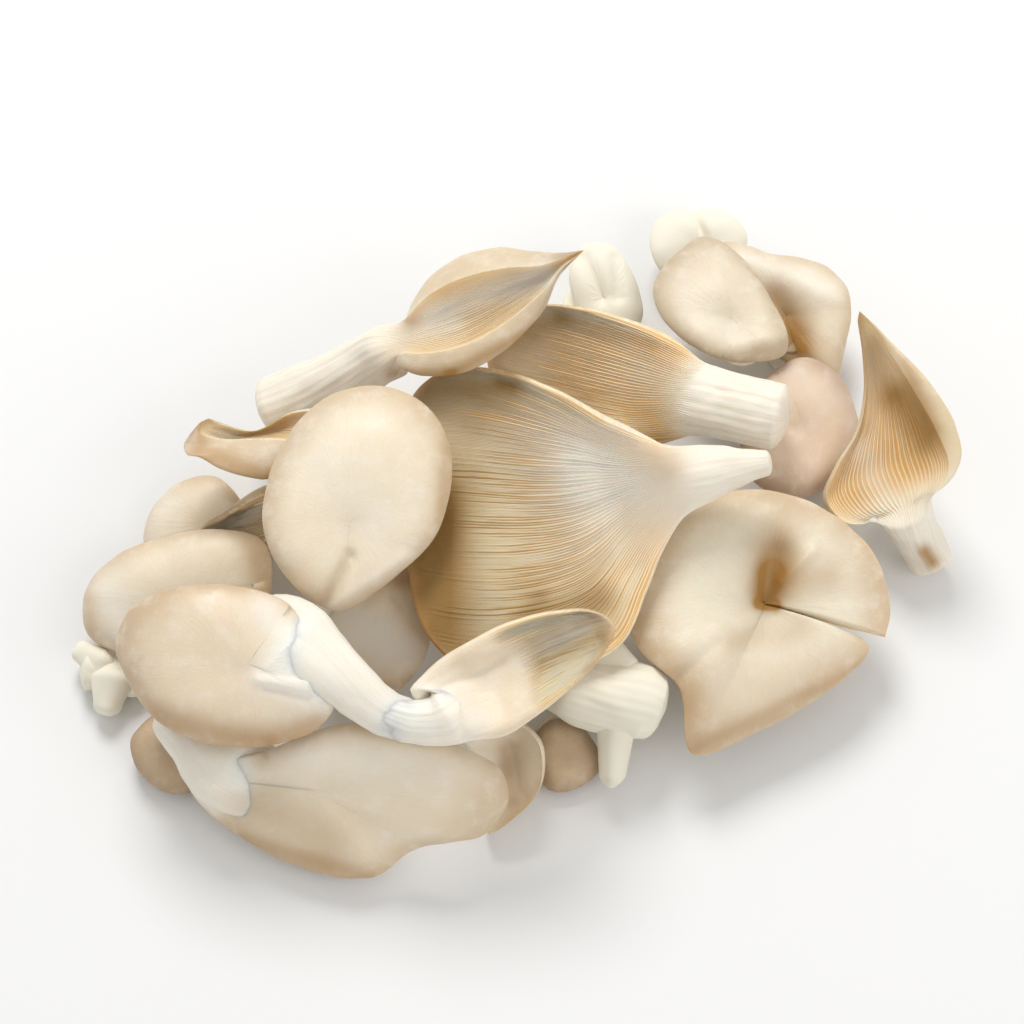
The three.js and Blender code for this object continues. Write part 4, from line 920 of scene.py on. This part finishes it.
# Small cap rolled in over its gills, joined at the stem to the one before
CURL_SMALL = dict(
    name="curl_small", kind=Fan, look="rolled", gills=24, rows=48, depth=5, gills_from=0.5,
    corners=(0.5, 0.68), place=(-0.7, -52.7, 6.4),
    stem=[
        (-24.5, -7, 25, 3.4), (-19.5, -8.5, 24.5, 4.4), (-14.5, -8.5, 24.5, 5),
        (-10.5, -7, 25, 6.5),
    ],
    rim=[
        (-15, -5.5, 27), (-19.5, -3.5, 28), (-16.5, -0.5, 29), (-9.5, 4, 31), (-0.5, 8.5, 33),
        (10.5, 11, 34), (18.5, 10.5, 34), (21, 7.5, 34), (17, 1, 32), (8, -7, 30), (-1.5, -12, 27),
        (-8.5, -13, 25),
    ],
    folds=[(470, 650, 560, 630, 12, 0.8), (440, 690, 500, 660, 8, -0.7)],
    stains_and_painted_light=[
        (430, 700, 530, 650, 16, -0.25), (550, 645, 596, 624, 12, -0.5),
        (595, 622, 608, 645, 7, 0.4), (540, 662, 598, 636, 6, 0.35),
    ],
)

MUSHROOMS = [
    CAP_SHADED, CAP_LEFT_BACK, WEDGE, STUB, CAP_LEFT, CAP_BROWN, CURL_BOTTOM, CAP_BOTTOM,
    CAP_TOP_WHITE, CAP_BILOBED, CAP_RIGHT_BACK, CAP_PINK, HALF_RIGHT, CAP_OVAL_RIGHT, STEM_KNOB,
    CAP_SPLIT, CAP_CENTRE, FAN_UPPER, FAN_LARGE, CURL_TOP, CURL_LEFT, CAP_OVAL, CAP_BIG_LEFT,
]
# What grew from another's stem, and is one piece with it
JOINED = {"cap_big_left": [CURL_SMALL]}
# Each look's slot name, which nothing here reads, and its colours, sRGB: skin, rim, gills, grooves,
# stem
LOOKS = {
    "cream": ("cap_cream", "#EDDFC6", "#C2A57E", "#F3E1B6", "#D9B070", "#F6F0E4"),
    "warm": ("cap_cream", "#ECDBC0", "#B8966C", "#F3E1B6", "#D9B070", "#F6F0E5"),
    "greige": ("cap_cream", "#E2D4BC", "#B8A07F", "#F1DEB4", "#D6AE72", "#F2EBDD"),
    "split": ("cap_cream", "#EAE0CA", "#C9AB84", "#F3E1B6", "#D8AF70", "#F4EEDF"),
    "pink": ("cap_greige", "#E3CBB2", "#B5957A", "#EBD3A6", "#CFA66C", "#F3E9DA"),
    "brown": ("cap_greige", "#CBB292", "#93785A", "#DDC08F", "#B98F57", "#E3D5BB"),
    "white": ("flesh_white", "#EEE5D2", "#D9C8A6", "#F0DDB0", "#D8B57A", "#F6F1E6"),
    "gilled": ("gill_cream", "#E0CEAC", "#B0946E", "#FAE9C4", "#DCAE66", "#F7F0E3"),
    "rolled": ("cap_greige", "#D9C5A6", "#9A7F60", "#FAEBCB", "#DDB676", "#F6EFE1"),
}
LOOK_SOCKETS = ("Skin", "Rim", "Gills", "Grooves", "Stem")


def linear(code):
    """An sRGB colour code as linear red, green, blue and alpha."""
    parts = np.array([int(code[place:place + 2], 16) / 255 for place in (1, 3, 5)])
    parts = np.where(parts <= 0.04045, parts / 12.92, ((parts + 0.055) / 1.055) ** 2.4)
    return [*parts, 1.0]


def gill_starts(count, seed):
    """For each gill column, where its crest starts: full gills, halves and quarters between."""
    draw = np.random.default_rng(seed)
    starts = np.full(count * GILL_COLUMNS + 1, np.nan)
    starts[::GILL_COLUMNS] = -1.0
    quarter = GILL_COLUMNS // 4
    starts[2 * quarter::GILL_COLUMNS] = draw.uniform(*HALF_STARTS, count)
    for place in (quarter, 3 * quarter):
        starts[place::GILL_COLUMNS] = draw.uniform(*QUARTER_STARTS, count)
    return starts


def gill_crest(u, count, seed):
    """How far each grid point stands out as a gill, 0 in a groove and 1 on a full crest."""
    starts = gill_starts(count, seed)
    draw = np.random.default_rng(seed + 1)
    height = np.where(starts < 0, 1.0, SHORT_GILL) * draw.uniform(*GILL_HEIGHTS, len(starts))
    crest = np.nan_to_num(smoothstep(u, starts, starts + GILL_GROWTH) * height)
    wide = np.zeros_like(crest)
    wide[:, ::GILL_COLUMNS] = crest[:, ::GILL_COLUMNS]
    free = 1 - np.nan_to_num(smoothstep(u, starts - FOOT_BEFORE, starts + FOOT_AFTER))
    foot = np.zeros_like(crest)
    for side in (-1, 1):
        foot += FOOT * np.roll(wide, side, axis=1) * np.roll(free, -side, axis=1)
    return np.maximum(crest, np.clip(foot, 0, 1))


def rippled(points, seed, table):
    """Random relief in mm, from rows of a height, a wavelength and a step to the seed."""
    return sum(height * waves(points, seed + step, length) for height, length, step in table)


def sheet_rows(sheet, rows, seed, start=0.0):
    """The skin below and above as rows of points from the crown or stem out to the rim, with the
    way out of the smooth face, u, at, how far each point stands out as a gill, and whether gills
    grow there."""
    plan = sheet.plan
    at = np.linspace(0, 1, plan["gills"] * GILL_COLUMNS + 1)[None, :]
    lip = sheet.lip(at[0])[None, :]
    inner = (np.arange(rows) / (rows - 1))[:, None] ** ROW_CROWDING
    turn = (np.arange(1, LIP_ROWS + 1) / LIP_ROWS)[:, None] * np.pi / 2
    u = [(start + (1 - start) * inner) * (1 - lip), 1 - lip * (1 - np.sin(turn))]
    u = np.concatenate(u)
    at = np.broadcast_to(at, u.shape)
    sway = 0
    phases = np.random.default_rng(seed).uniform(0, 2 * np.pi, len(SWAYS))
    for (share, pace, turns), phase in zip(SWAYS, phases):
        sway = sway + share * np.sin(pace * u + phase + turns * np.pi * at)
    ends = np.where((at == 0) | (at == 1), 0.0, 1.0) if sheet.closed else np.sin(np.pi * at)
    at = np.clip(at + sway * ends * u * GILL_SWAY / plan["gills"], 0, 1)
    crest = gill_crest(u, plan["gills"], seed)
    if sheet.closed:
        crest[:, -1] = crest[:, 0]
    below, above, way = sheet.faces(u, at, crest)
    middle = (below + above) / 2
    onset = plan["gills_from"]
    gilled = smoothstep(u, onset, onset + GILL_ONSET) if onset else np.ones_like(u)
    relief = rippled(middle, seed, SKIN_WAVES)
    relief = relief + rippled(middle, seed, [RIM_WAVES]) * smoothstep(u, RIM_WAVES_FROM, 1.0)
    relief = relief * np.sign(sheet.smooth @ TO_CAMERA)
    below, above = below + way * relief[..., None], above + way * relief[..., None]
    place = np.array(plan["place"])
    for *line, radius, height in plan.get("folds", []):
        raised = (height * stroke(middle + place, *line, radius))[..., None] * TO_CAMERA
        below, above = below + raised, above + raised
    return below, above, way, u, at, crest, gilled


def folded(above, below):
    """Rows above out to the rim, then rows below back in."""
    return np.concatenate([above, below[-2::-1]])


def flared(gap, reach):
    """How far a skin stands out at a gap from what it runs smoothly into: most where they meet."""
    return (reach - np.clip(gap, 0, reach)) ** 2 / (4 * reach)


def stem_flare(points, stem, reach):
    """How far a cap's skin stands out towards its oval stem."""
    spots = points.reshape(-1, 3)
    gap = np.full(len(spots), np.inf)
    for centre, direction, side, face, wide, flat in zip(*stem):
        offset = spots - centre
        oval = np.hypot(offset @ side / wide, offset @ face / flat)
        beside = np.maximum(oval - 1, 0) * flat
        gap = np.minimum(gap, np.hypot(offset @ direction, beside))
    return flared(gap, reach).reshape(points.shape[:-1])


def cap_grid(sheet, rows, seed, stem):
    """A round cap's closed skin, from its crown over the smooth face to the rim and back under it,
    with each point's form (rim, gilled, crest, stem) and fibre place. It flares into its stem."""
    below, above, way, u, at, crest, gilled = sheet_rows(sheet, rows, seed)
    flows = sheet.plan["flow"]
    reach = FLOW_REACH if flows else FLARE_REACH
    flares = [stem_flare(side, stem, reach) for side in (above, below)]
    shafts = [smoothstep(4 * flare / reach, SHAFT_FROM, 1.0) for flare in flares]
    below = below - way * flares[1][..., None]
    if flows:
        above = above + way * flares[0][..., None]
    form_above = np.stack([u, np.zeros_like(u), np.ones_like(u), shafts[0] * flows], axis=-1)
    form_below = np.stack([u, gilled, crest, shafts[1]], axis=-1)
    angle = (2 if sheet.closed else 1) * np.pi * at
    fibre = np.stack([np.cos(angle), np.sin(angle), CAP_FIBRES * u], axis=-1) * sheet.plan["gills"]
    return folded(above, below), folded(form_above, form_below), folded(fibre, fibre)


def stalk(sheet, t):
    """The stem's centres, its ways along, across and out of its smooth face, and half widths."""
    plan = sheet.plan
    line = Curve([corner[:3] for corner in plan["stem"]], False)
    spread = np.array([1.0, 0.0, 0.0]) if plan["kind"] is Cap else sheet.last - sheet.first
    after, before = np.minimum(t + RIM_STEP, 1), np.maximum(t - RIM_STEP, 0)
    direction = unit(line.point(after) - line.point(before))
    side = unit(spread - (direction @ spread)[:, None] * direction)
    face = np.cross(side, direction)
    face = face * np.sign((face @ sheet.smooth).sum())
    wide = along([corner[3] for corner in plan["stem"]], t)
    return line.point(t), direction, side, face, wide, wide * (1 + (plan["flat"] - 1) * t)


def stalk_rows(sheet, t, turn, seed):
    """Rings of points up the stem, with a low rounded cut end before the first. A turn of 0 to pi
    goes over its smooth face and pi to two pi under it."""
    centre, direction, side, face, wide, flat = stalk(sheet, t)
    ends = np.linspace(0, 1, END_ROWS + 1)[:-1]
    rings = [(0, size**END_FULLNESS, -END_RISE * (1 - size**2)) for size in ends]
    rings += [(row, 1.0, 0.0) for row in range(len(t))]
    ridges = sum(np.sin(count * turn + phase * seed) for count, phase in RIDGE_WAVES)
    points = []
    for row, size, rise in rings:
        size = size * (1 + STEM_RIDGES * ridges * size)
        across = side[row] * (-wide[row] * size * np.cos(turn))[:, None]
        out = face[row] * (flat[row] * size * np.sin(turn))[:, None]
        points.append(centre[row] + direction[row] * rise * flat[row] + across + out)
    points = np.array(points)
    swell = rippled(points, seed, STEM_WAVES) * min(wide.mean() / WAVED_STEM, 1)
    middles = np.array([centre[row] for row, _, _ in rings])[:, None]
    return points + unit(points - middles) * swell[..., None]


def plain_form(points):
    """The form of bare stem."""
    form = np.zeros(points.shape[:2] + (4,))
    form[..., 2:] = 1.0
    return form


def fibres(shape, turn, count):
    """Fibre places on a grid of points: round it by the turn, and evenly along its rows."""
    around = np.stack([np.cos(turn), np.sin(turn)], axis=-1) * count
    length = np.linspace(0, FIBRES_ALONG, shape[0])[:, None, None]
    parts = [np.broadcast_to(around, shape + (2,)), np.broadcast_to(length, shape + (1,))]
    return np.concatenate(parts, axis=-1)


def stem_grid(sheet, seed, cap):
    """A cap's stem as a closed grid of points, from its cut end to a low dome or a nose inside the
    flesh. It flares where it meets the cap's points."""
    t = np.linspace(0, 1, STEM_ROWS + 1)
    turn = np.linspace(0, 2 * np.pi, STEM_COLUMNS + 1)
    points = stalk_rows(sheet, t, turn, seed)
    centre, direction, _, _, wide, flat = stalk(sheet, t)
    tree = KDTree(len(cap))
    for index, point in enumerate(cap):
        tree.insert(point, index)
    tree.balance()
    gap = np.array([tree.find(point)[2] for point in points.reshape(-1, 3)])
    push = flared(gap, FLARE_REACH).reshape(points.shape[:2])
    rise = direction[-1] * flat[-1] * DOME_RISE
    if sheet.plan["flow"]:
        push = push * np.sqrt(np.linspace(1, 0, len(points)))[:, None]
        rise = (direction[-1] - sheet.smooth * NOSE_DIP) * wide[-1] * NOSE_RISE
    points = points + unit(points - points.mean(1, keepdims=True)) * push[..., None]
    turns = np.linspace(0, np.pi / 2, DOME_ROWS + 1)[1:, None, None]
    dome = centre[-1] + (points[-1] - centre[-1]) * np.cos(turns) + rise * np.sin(turns)
    points = np.concatenate([points, dome])
    form = plain_form(points)
    form[: len(push), :, 3] = 1 - 2 * push / FLARE_REACH
    return points, form, fibres(points.shape[:2], turn, FIBRES_ROUND)


def bridge(start, end):
    """Rows that run smoothly on from the last rows of one grid into the first of the next."""
    leave, arrive = unit(start[-1] - start[-2]), unit(end[1] - end[0])
    reach = np.linalg.norm(end[0] - start[-1], axis=-1, keepdims=True)
    share = (np.arange(1, BRIDGE_ROWS + 1) / (BRIDGE_ROWS + 1))[:, None, None]
    points = start[-1] * (2 * share**3 - 3 * share**2 + 1) + end[0] * (3 * share**2 - 2 * share**3)
    curve = leave * (share**3 - 2 * share**2 + share) + arrive * (share**3 - share**2)
    return points + reach * curve


def gilled_grid(sheet, rows, seed):
    """A fan or rolled cap and its stem as one closed skin: from the stem's cut end over the smooth
    face to the rim and back under it. The gills run down onto the stem and fade out."""
    below, above, _, u, at, crest, gilled = sheet_rows(sheet, rows, seed, start=FAN_START)
    turn = np.pi * np.linspace(0, 1, at.shape[1])
    t = np.linspace(0, STALK_END, STEM_ROWS)
    skins = []
    for side, way in ((above, 1), (below, -1)):
        shaft = stalk_rows(sheet, t, way * turn, seed)
        skins.append(np.concatenate([shaft, bridge(shaft, side), side]))
    shape = skins[1].shape[:2]
    length = np.cumsum(np.linalg.norm(np.diff(skins[1].mean(1), axis=0), axis=-1))
    past = np.concatenate([[0], length - length[END_ROWS + STEM_ROWS - 2]])
    stem = np.broadcast_to((1 - smoothstep(past, *STEM_FADE))[:, None], shape)
    cover = STEM_COVER * stem
    full = np.zeros(shape)
    ridges, lined = (np.broadcast_to(part[0], shape).copy() for part in (crest, gilled))
    for whole, part in ((full, u), (ridges, crest), (lined, gilled)):
        whole[-len(u):] = part
    form_over = np.stack([full, np.zeros(shape), np.ones(shape), stem], axis=-1)
    form_under = np.stack([full, lined * (1 - cover), np.maximum(ridges, cover), stem], axis=-1)
    fibre = fibres(shape, turn, sheet.plan["gills"] / 2)
    return folded(*skins), folded(form_over, form_under), folded(fibre, fibre)


def knob_grid(start, end, radius, seed):
    """A knob of flesh between two points, round at both ends, as a closed grid of points."""
    start, end = np.array(start, float), np.array(end, float)
    way = unit(end - start)
    side = unit(np.cross(way, KNOB_SIDE))
    face = np.cross(way, side)
    turn = np.linspace(0, 2 * np.pi, KNOB_COLUMNS + 1)[:, None]
    around = side * np.cos(turn) + face * np.sin(turn)
    points = []
    for rise in np.linspace(-np.pi / 2, np.pi / 2, KNOB_ROWS + 1):
        middle, size = (start, radius * KNOB_TAPER) if rise < 0 else (end, radius)
        points.append(middle + (way * np.sin(rise) + around * np.cos(rise)) * size)
    points = np.array(points)
    height, length = KNOB_WAVES
    swell = height * waves(points, seed, length)
    points = points + unit(points - (start + end) / 2) * swell[..., None]
    return points, plain_form(points), points * KNOB_FIBRES


def add_grid(name, points, form, fibre, stain_and_painted_light):
    """A primitive grid shaped to a grid of points, with the values that its material reads."""
    rows, columns = points.shape[:2]
    bpy.ops.mesh.primitive_grid_add(x_subdivisions=columns - 1, y_subdivisions=rows - 1, size=1.0)
    grid = bpy.context.object
    grid.name = name
    mesh = grid.data
    mesh.vertices.foreach_set("co", (points * MM).ravel())
    marks = np.stack([stain_and_painted_light, form[..., 3], np.zeros_like(stain_and_painted_light)], axis=-1)
    for label, values in (("form", form[..., :3]), ("fibre", fibre), ("marks", marks)):
        attribute = mesh.attributes.new(label, "FLOAT_VECTOR", "POINT")
        attribute.data.foreach_set("vector", values.ravel())
    mesh.update()
    return grid


def stains_and_painted_light(plan, points):
    """How ochre each point is, or how white below zero, from the plan's soft strokes: stains,
    painted shade and painted light.
    """
    total = np.zeros(points.shape[:-1])
    for *line, radius, strength in plan.get("stains_and_painted_light", []):
        total = total + strength * stroke(points, *line, radius)
    return total


def mushroom_grids(plan, settings, seed):
    """One mushroom's skins as grid objects: a cap and its stem, or both as one, and any knobs."""
    sheet = plan["kind"](plan, settings)
    if plan["kind"] is Cap:
        stem = stalk(sheet, np.linspace(0, 1, FLARE_STEPS))
        cap = cap_grid(sheet, plan["rows"], seed, stem)
        near = cap[0] if sheet.plan["flow"] else cap[0][plan["rows"] + LIP_ROWS:]
        near = near[::NEAR_ROWS, ::NEAR_COLUMNS].reshape(-1, 3)
        grids = [cap, stem_grid(sheet, seed, near)]
    else:
        grids = [gilled_grid(sheet, plan["rows"], seed)]
    root = np.array(plan["stem"][-1][:3])
    for *ends, radius in plan.get("lobes", []):
        start, end = sorted(ends, key=lambda spot: np.linalg.norm(root - spot))
        grids.append(knob_grid(start, end, radius, seed))
    made = []
    for points, form, fibre in grids:
        points = points + np.array(plan["place"])
        # Ochre above zero and white below: stains, painted shade and painted light
        stain_and_painted_light = stains_and_painted_light(plan, points)
        points = np.clip(points - HEAP_MIDDLE, *np.array(CAD_BOX) / MM)
        made.append(add_grid(plan["name"], points, form, fibre, stain_and_painted_light))
    return made


def deselect():
    for item in bpy.context.selected_objects:
        item.select_set(False)


def grow(plan, settings, seed):
    """One mushroom, with any that grew from its stem, as one closed smooth mesh on the root."""
    grids = []
    for number, part in enumerate([plan, *JOINED.get(plan["name"], [])]):
        grids += mushroom_grids(part, settings, seed + JOINED_SEED * number)
    deselect()
    for grid in grids:
        grid.select_set(True)
    piece = grids[0]
    bpy.context.view_layer.objects.active = piece
    bpy.ops.object.join()
    piece.name = plan["name"] + "_flesh"
    bpy.ops.object.mode_set(mode="EDIT")
    bpy.ops.mesh.select_all(action="SELECT")
    bpy.ops.mesh.remove_doubles(threshold=WELD)
    bpy.ops.mesh.normals_make_consistent(inside=False)
    bpy.ops.object.mode_set(mode="OBJECT")
    bpy.ops.object.origin_set(type="ORIGIN_CURSOR")
    bpy.ops.object.shade_smooth()
    piece.data.materials.clear()
    piece.data.materials.append(flesh_material(plan["look"]))
    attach(piece, "root")
    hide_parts(plan["name"])
    deselect()


def fill(node, values):
    """Sets a node's inputs by their names."""
    for name, value in values.items():
        node.inputs[name].default_value = value


class Wiring:
    """Adds nodes to a tree, links them and sets what they read."""

    def __init__(self, tree):
        self.tree = tree

    def node(self, kind, **settings):
        node = self.tree.nodes.new(kind)
        for name, value in settings.items():
            setattr(node, name, value)
        return node

    def link(self, source, target):
        self.tree.links.new(source, target)

    def put(self, target, value):
        if isinstance(value, bpy.types.NodeSocket):
            self.link(value, target)
        else:
            target.default_value = value

    def math(self, operation, *values, clamp=False):
        node = self.node("ShaderNodeMath", operation=operation, use_clamp=clamp)
        for socket, value in zip(node.inputs, values):
            self.put(socket, value)
        return node.outputs[0]

    def tint(self, value, low, high, share):
        """How strongly a tint shows: smoothly from nothing at low to its share at high."""
        node = self.node("ShaderNodeMapRange", interpolation_type="SMOOTHSTEP")
        self.put(node.inputs["Value"], value)
        fill(node, {"From Min": low, "From Max": high})
        return self.math("MULTIPLY", node.outputs["Result"], share)

    def mix(self, share, one, other):
        node = self.node("ShaderNodeMix", data_type="RGBA")
        self.put(node.inputs["Factor"], share)
        self.put(node.inputs[6], one)
        self.put(node.inputs[7], other)
        return node.outputs[2]

    def noise(self, vector, scale, detail, roughness):
        node = self.node("ShaderNodeTexNoise")
        self.link(vector, node.inputs["Vector"])
        fill(node, {"Scale": scale, "Detail": detail, "Roughness": roughness})
        return node.outputs["Fac"]

    def attribute(self, name):
        node = self.node("ShaderNodeAttribute", attribute_type="GEOMETRY", attribute_name=name)
        split = self.node("ShaderNodeSeparateXYZ")
        self.link(node.outputs["Vector"], split.inputs[0])
        return node.outputs["Vector"], split.outputs


def flesh_group():
    """The colour, roughness and relief of mushroom flesh: skin browned towards the rim, gills with
    ochre grooves, fibrous stem, and soft mottling, with the strokes' ochre and white over it as
    stains, painted shade and painted light."""
    group = bpy.data.node_groups.get("mushroom_flesh")
    if group:
        return group
    group = bpy.data.node_groups.new("mushroom_flesh", "ShaderNodeTree")
    sockets = [(name, "INPUT", "Color") for name in (*LOOK_SOCKETS, "Stain_and_painted_shade")]
    sockets += [("Colour", "OUTPUT", "Color")]
    sockets += [(name, "OUTPUT", "Float") for name in ("Roughness", "Relief")]
    for name, way, kind in sockets:
        group.interface.new_socket(name=name, in_out=way, socket_type="NodeSocket" + kind)
    wiring = Wiring(group)
    inputs = wiring.node("NodeGroupInput").outputs
    outputs = wiring.node("NodeGroupOutput").inputs
    coordinates = wiring.node("ShaderNodeTexCoord").outputs["Object"]
    _, (rim, gilled, crest) = wiring.attribute("form")
    _, (stain_and_painted_light, stem, _) = wiring.attribute("marks")
    fibre, _ = wiring.attribute("fibre")
    broad = wiring.noise(coordinates, *BROAD)
    mottle = wiring.noise(coordinates, *MOTTLE)
    grain = wiring.noise(coordinates, *GRAIN)
    strands = wiring.noise(fibre, *STRANDS)

    def tinted(colour, value, tint, name):
        return wiring.mix(wiring.tint(value, *tint), colour, inputs[name])

    wander = wiring.math("MULTIPLY", wiring.math("SUBTRACT", broad, 0.5), RIM_WANDER)
    skin = tinted(inputs["Skin"], wiring.math("ADD", rim, wander), RIM_TINT, "Rim")
    skin = tinted(skin, mottle, PALE_TINT, "Stem")
    skin = tinted(skin, strands, STREAK_TINT, "Rim")
    gills = tinted(inputs["Grooves"], crest, CREST_TINT, "Gills")
    gills = tinted(gills, broad, GROOVE_TINT, "Grooves")
    gills = tinted(gills, rim, GILL_RIM_TINT, "Rim")
    shaft = tinted(inputs["Stem"], strands, STEM_TINT, "Skin")
    colour = wiring.mix(stem, wiring.mix(gilled, skin, gills), shaft)
    # Ochre mixed in for stains and painted shade, and below zero the pale stem colour as painted
    # light
    for sign, name in ((1.0, "Stain_and_painted_shade"), (-1.0, "Stem")):
        share = wiring.math("MULTIPLY", stain_and_painted_light, sign, clamp=True)
        colour = wiring.mix(share, colour, inputs[name])
    wiring.link(colour, outputs["Colour"])
    least, mottled, on_gills = ROUGHNESS
    rough = wiring.math("MULTIPLY_ADD", mottle, mottled, least)
    rough = wiring.math("MULTIPLY_ADD", gilled, on_gills, rough)
    wiring.link(rough, outputs["Roughness"])
    relief = 0.0
    for source, height in zip((strands, mottle, grain), RELIEF):
        relief = wiring.math("MULTIPLY_ADD", source, height, relief)
    wiring.link(relief, outputs["Relief"])
    return group


def flesh_material(look):
    name = "flesh_" + look
    material = bpy.data.materials.get(name)
    if material:
        return material
    material = bpy.data.materials.new(name)
    material.use_nodes = True
    wiring = Wiring(material.node_tree)
    shader = material.node_tree.nodes["Principled BSDF"]
    flesh = wiring.node("ShaderNodeGroup", node_tree=flesh_group())
    fill(flesh, dict(zip(LOOK_SOCKETS, map(linear, LOOKS[look][1:]))))
    fill(flesh, {"Stain_and_painted_shade": (*bpy.context.scene.mushroom_colours.stain_and_painted_light, 1.0)})
    wiring.link(flesh.outputs["Colour"], shader.inputs["Base Color"])
    wiring.link(flesh.outputs["Roughness"], shader.inputs["Roughness"])
    bump = wiring.node("ShaderNodeBump")
    fill(bump, BUMP)
    wiring.link(flesh.outputs["Relief"], bump.inputs["Height"])
    wiring.link(bump.outputs["Normal"], shader.inputs["Normal"])
    fill(shader, FLESH)
    return material


class MushroomSizes(bpy.types.PropertyGroup):
    edge: bpy.props.FloatProperty(
        name="Edge", description="Thickness of the flesh at the rim", default=0.0011,
        unit="LENGTH")
    crown: bpy.props.FloatProperty(
        name="Crown", description="Thickness of the flesh at the crown", default=0.005,
        unit="LENGTH")
    gill_depth: bpy.props.FloatProperty(
        name="Gill depth", description="How far full gills stand out", default=0.0013,
        unit="LENGTH")
    gill_spacing: bpy.props.FloatProperty(
        name="Gill spacing", description="Between gills, at and over which they are full",
        default=0.0018, unit="LENGTH")


class MushroomColours(bpy.types.PropertyGroup):
    # The ochre of stains, and of painted shade in hollows, creases and neighbours' shadows
    stain_and_painted_light: bpy.props.FloatVectorProperty(
        name="Stain_and_painted_shade", description="Ochre of hollows and shaded folds", default=(0.42, 0.22, 0.055),
        subtype="COLOR", size=3)
    floor: bpy.props.FloatVectorProperty(
        name="Floor", description="Plain pale floor", default=(0.86, 0.86, 0.86),
        subtype="COLOR", size=3)


def grow_all(kind, context):
    """All mushrooms of a kind, each with the seed of its place in the heap."""
    for number, plan in enumerate(MUSHROOMS):
        if plan["kind"] is kind:
            grow(plan, context.scene.mushroom_sizes, number + 1)
    return {"FINISHED"}


class HEAP_OT_caps(bpy.types.Operator):
    """Round caps with gills beneath and a short stem"""

    bl_idname = "heap.caps"
    bl_label = "Round caps"

    def execute(self, context):
        return grow_all(Cap, context)


class HEAP_OT_fans(bpy.types.Operator):
    """Fans lying gills up, with the stem at one side"""

    bl_idname = "heap.fans"
    bl_label = "Fans"

    def execute(self, context):
        return grow_all(Fan, context)


class HEAP_OT_curls(bpy.types.Operator):
    """Caps rolled in over their gills"""

    bl_idname = "heap.curls"
    bl_label = "Rolled caps"

    def execute(self, context):
        return grow_all(Curl, context)


def floor_material(colour):
    material = bpy.data.materials.new("floor_paint")
    material.use_nodes = True
    wiring = Wiring(material.node_tree)
    shader = material.node_tree.nodes["Principled BSDF"]
    cloud = wiring.noise(wiring.node("ShaderNodeTexCoord").outputs["Object"], *FLOOR_CLOUDS)
    share = wiring.math("MULTIPLY", cloud, FLOOR_CLOUD_SHARE)
    shaded = (*[part * FLOOR_CLOUD_SHADE for part in colour], 1.0)
    wiring.link(wiring.mix(share, (*colour, 1.0), shaded), shader.inputs["Base Color"])
    fill(shader, {"Roughness": FLOOR_ROUGHNESS})
    return material


def aimed(name, data, place, aim):
    """A lamp or camera at a place, looking at its aim."""
    thing = bpy.data.objects.new(name, data)
    bpy.context.collection.objects.link(thing)
    thing.location = place
    thing.rotation_euler = (aim - place).to_track_quat("-Z", "Y").to_euler()
    return thing


class HEAP_OT_stage(bpy.types.Operator):
    """Pale floor, soft studio light and the camera"""

    bl_idname = "heap.stage"
    bl_label = "Stage"

    def execute(self, context):
        scene = context.scene
        deselect()
        bpy.ops.mesh.primitive_plane_add(size=FLOOR_SIZE, location=(0, 0, 0))
        floor = context.object
        floor.name = "floor"
        floor.data.materials.append(floor_material(scene.mushroom_colours.floor))
        world = bpy.data.worlds.new("studio")
        world.use_nodes = True
        fill(world.node_tree.nodes["Background"], WORLD)
        scene.world = world
        for name, place, size, power, colour in LIGHTS:
            light = bpy.data.lights.new(name, "AREA")
            light.shape = "DISK"
            light.size, light.energy, light.color = size, power, colour
            aimed(name, light, Vector(place), Vector((0, 0, 0)))
        lens = bpy.data.cameras.new("camera")
        lens.lens = FOCAL_PIXELS / PICTURE * SENSOR
        lens.sensor_width = SENSOR
        aim = Vector(-HEAP_MIDDLE * MM)
        scene.camera = aimed("camera", lens, aim + Vector(TO_CAMERA * DISTANCE * MM), aim)
        scene.view_settings.view_transform = "Standard"
        return {"FINISHED"}


class HEAP_PT_panel(bpy.types.Panel):
    bl_label = "Oyster mushrooms"
    bl_idname = "HEAP_PT_panel"
    bl_space_type = "VIEW_3D"
    bl_region_type = "UI"
    bl_category = "Mushrooms"

    def draw(self, context):
        for settings in (context.scene.mushroom_sizes, context.scene.mushroom_colours):
            for name in settings.__annotations__:
                self.layout.prop(settings, name)
        for operator in OPERATORS:
            self.layout.operator(operator.bl_idname)


OPERATORS = (HEAP_OT_caps, HEAP_OT_fans, HEAP_OT_curls, HEAP_OT_stage)
CLASSES = (MushroomSizes, MushroomColours, *OPERATORS, HEAP_PT_panel)


def register():
    for part in CLASSES:
        bpy.utils.register_class(part)
    bpy.types.Scene.mushroom_sizes = bpy.props.PointerProperty(type=MushroomSizes)
    bpy.types.Scene.mushroom_colours = bpy.props.PointerProperty(type=MushroomColours)


def unregister():
    del bpy.types.Scene.mushroom_colours
    del bpy.types.Scene.mushroom_sizes
    for part in reversed(CLASSES):
        bpy.utils.unregister_class(part)


def main():
    register()
    bpy.ops.heap.stage()
    bpy.ops.heap.caps()
    bpy.ops.heap.fans()
    bpy.ops.heap.curls()


if __name__ == "__main__":
    main()
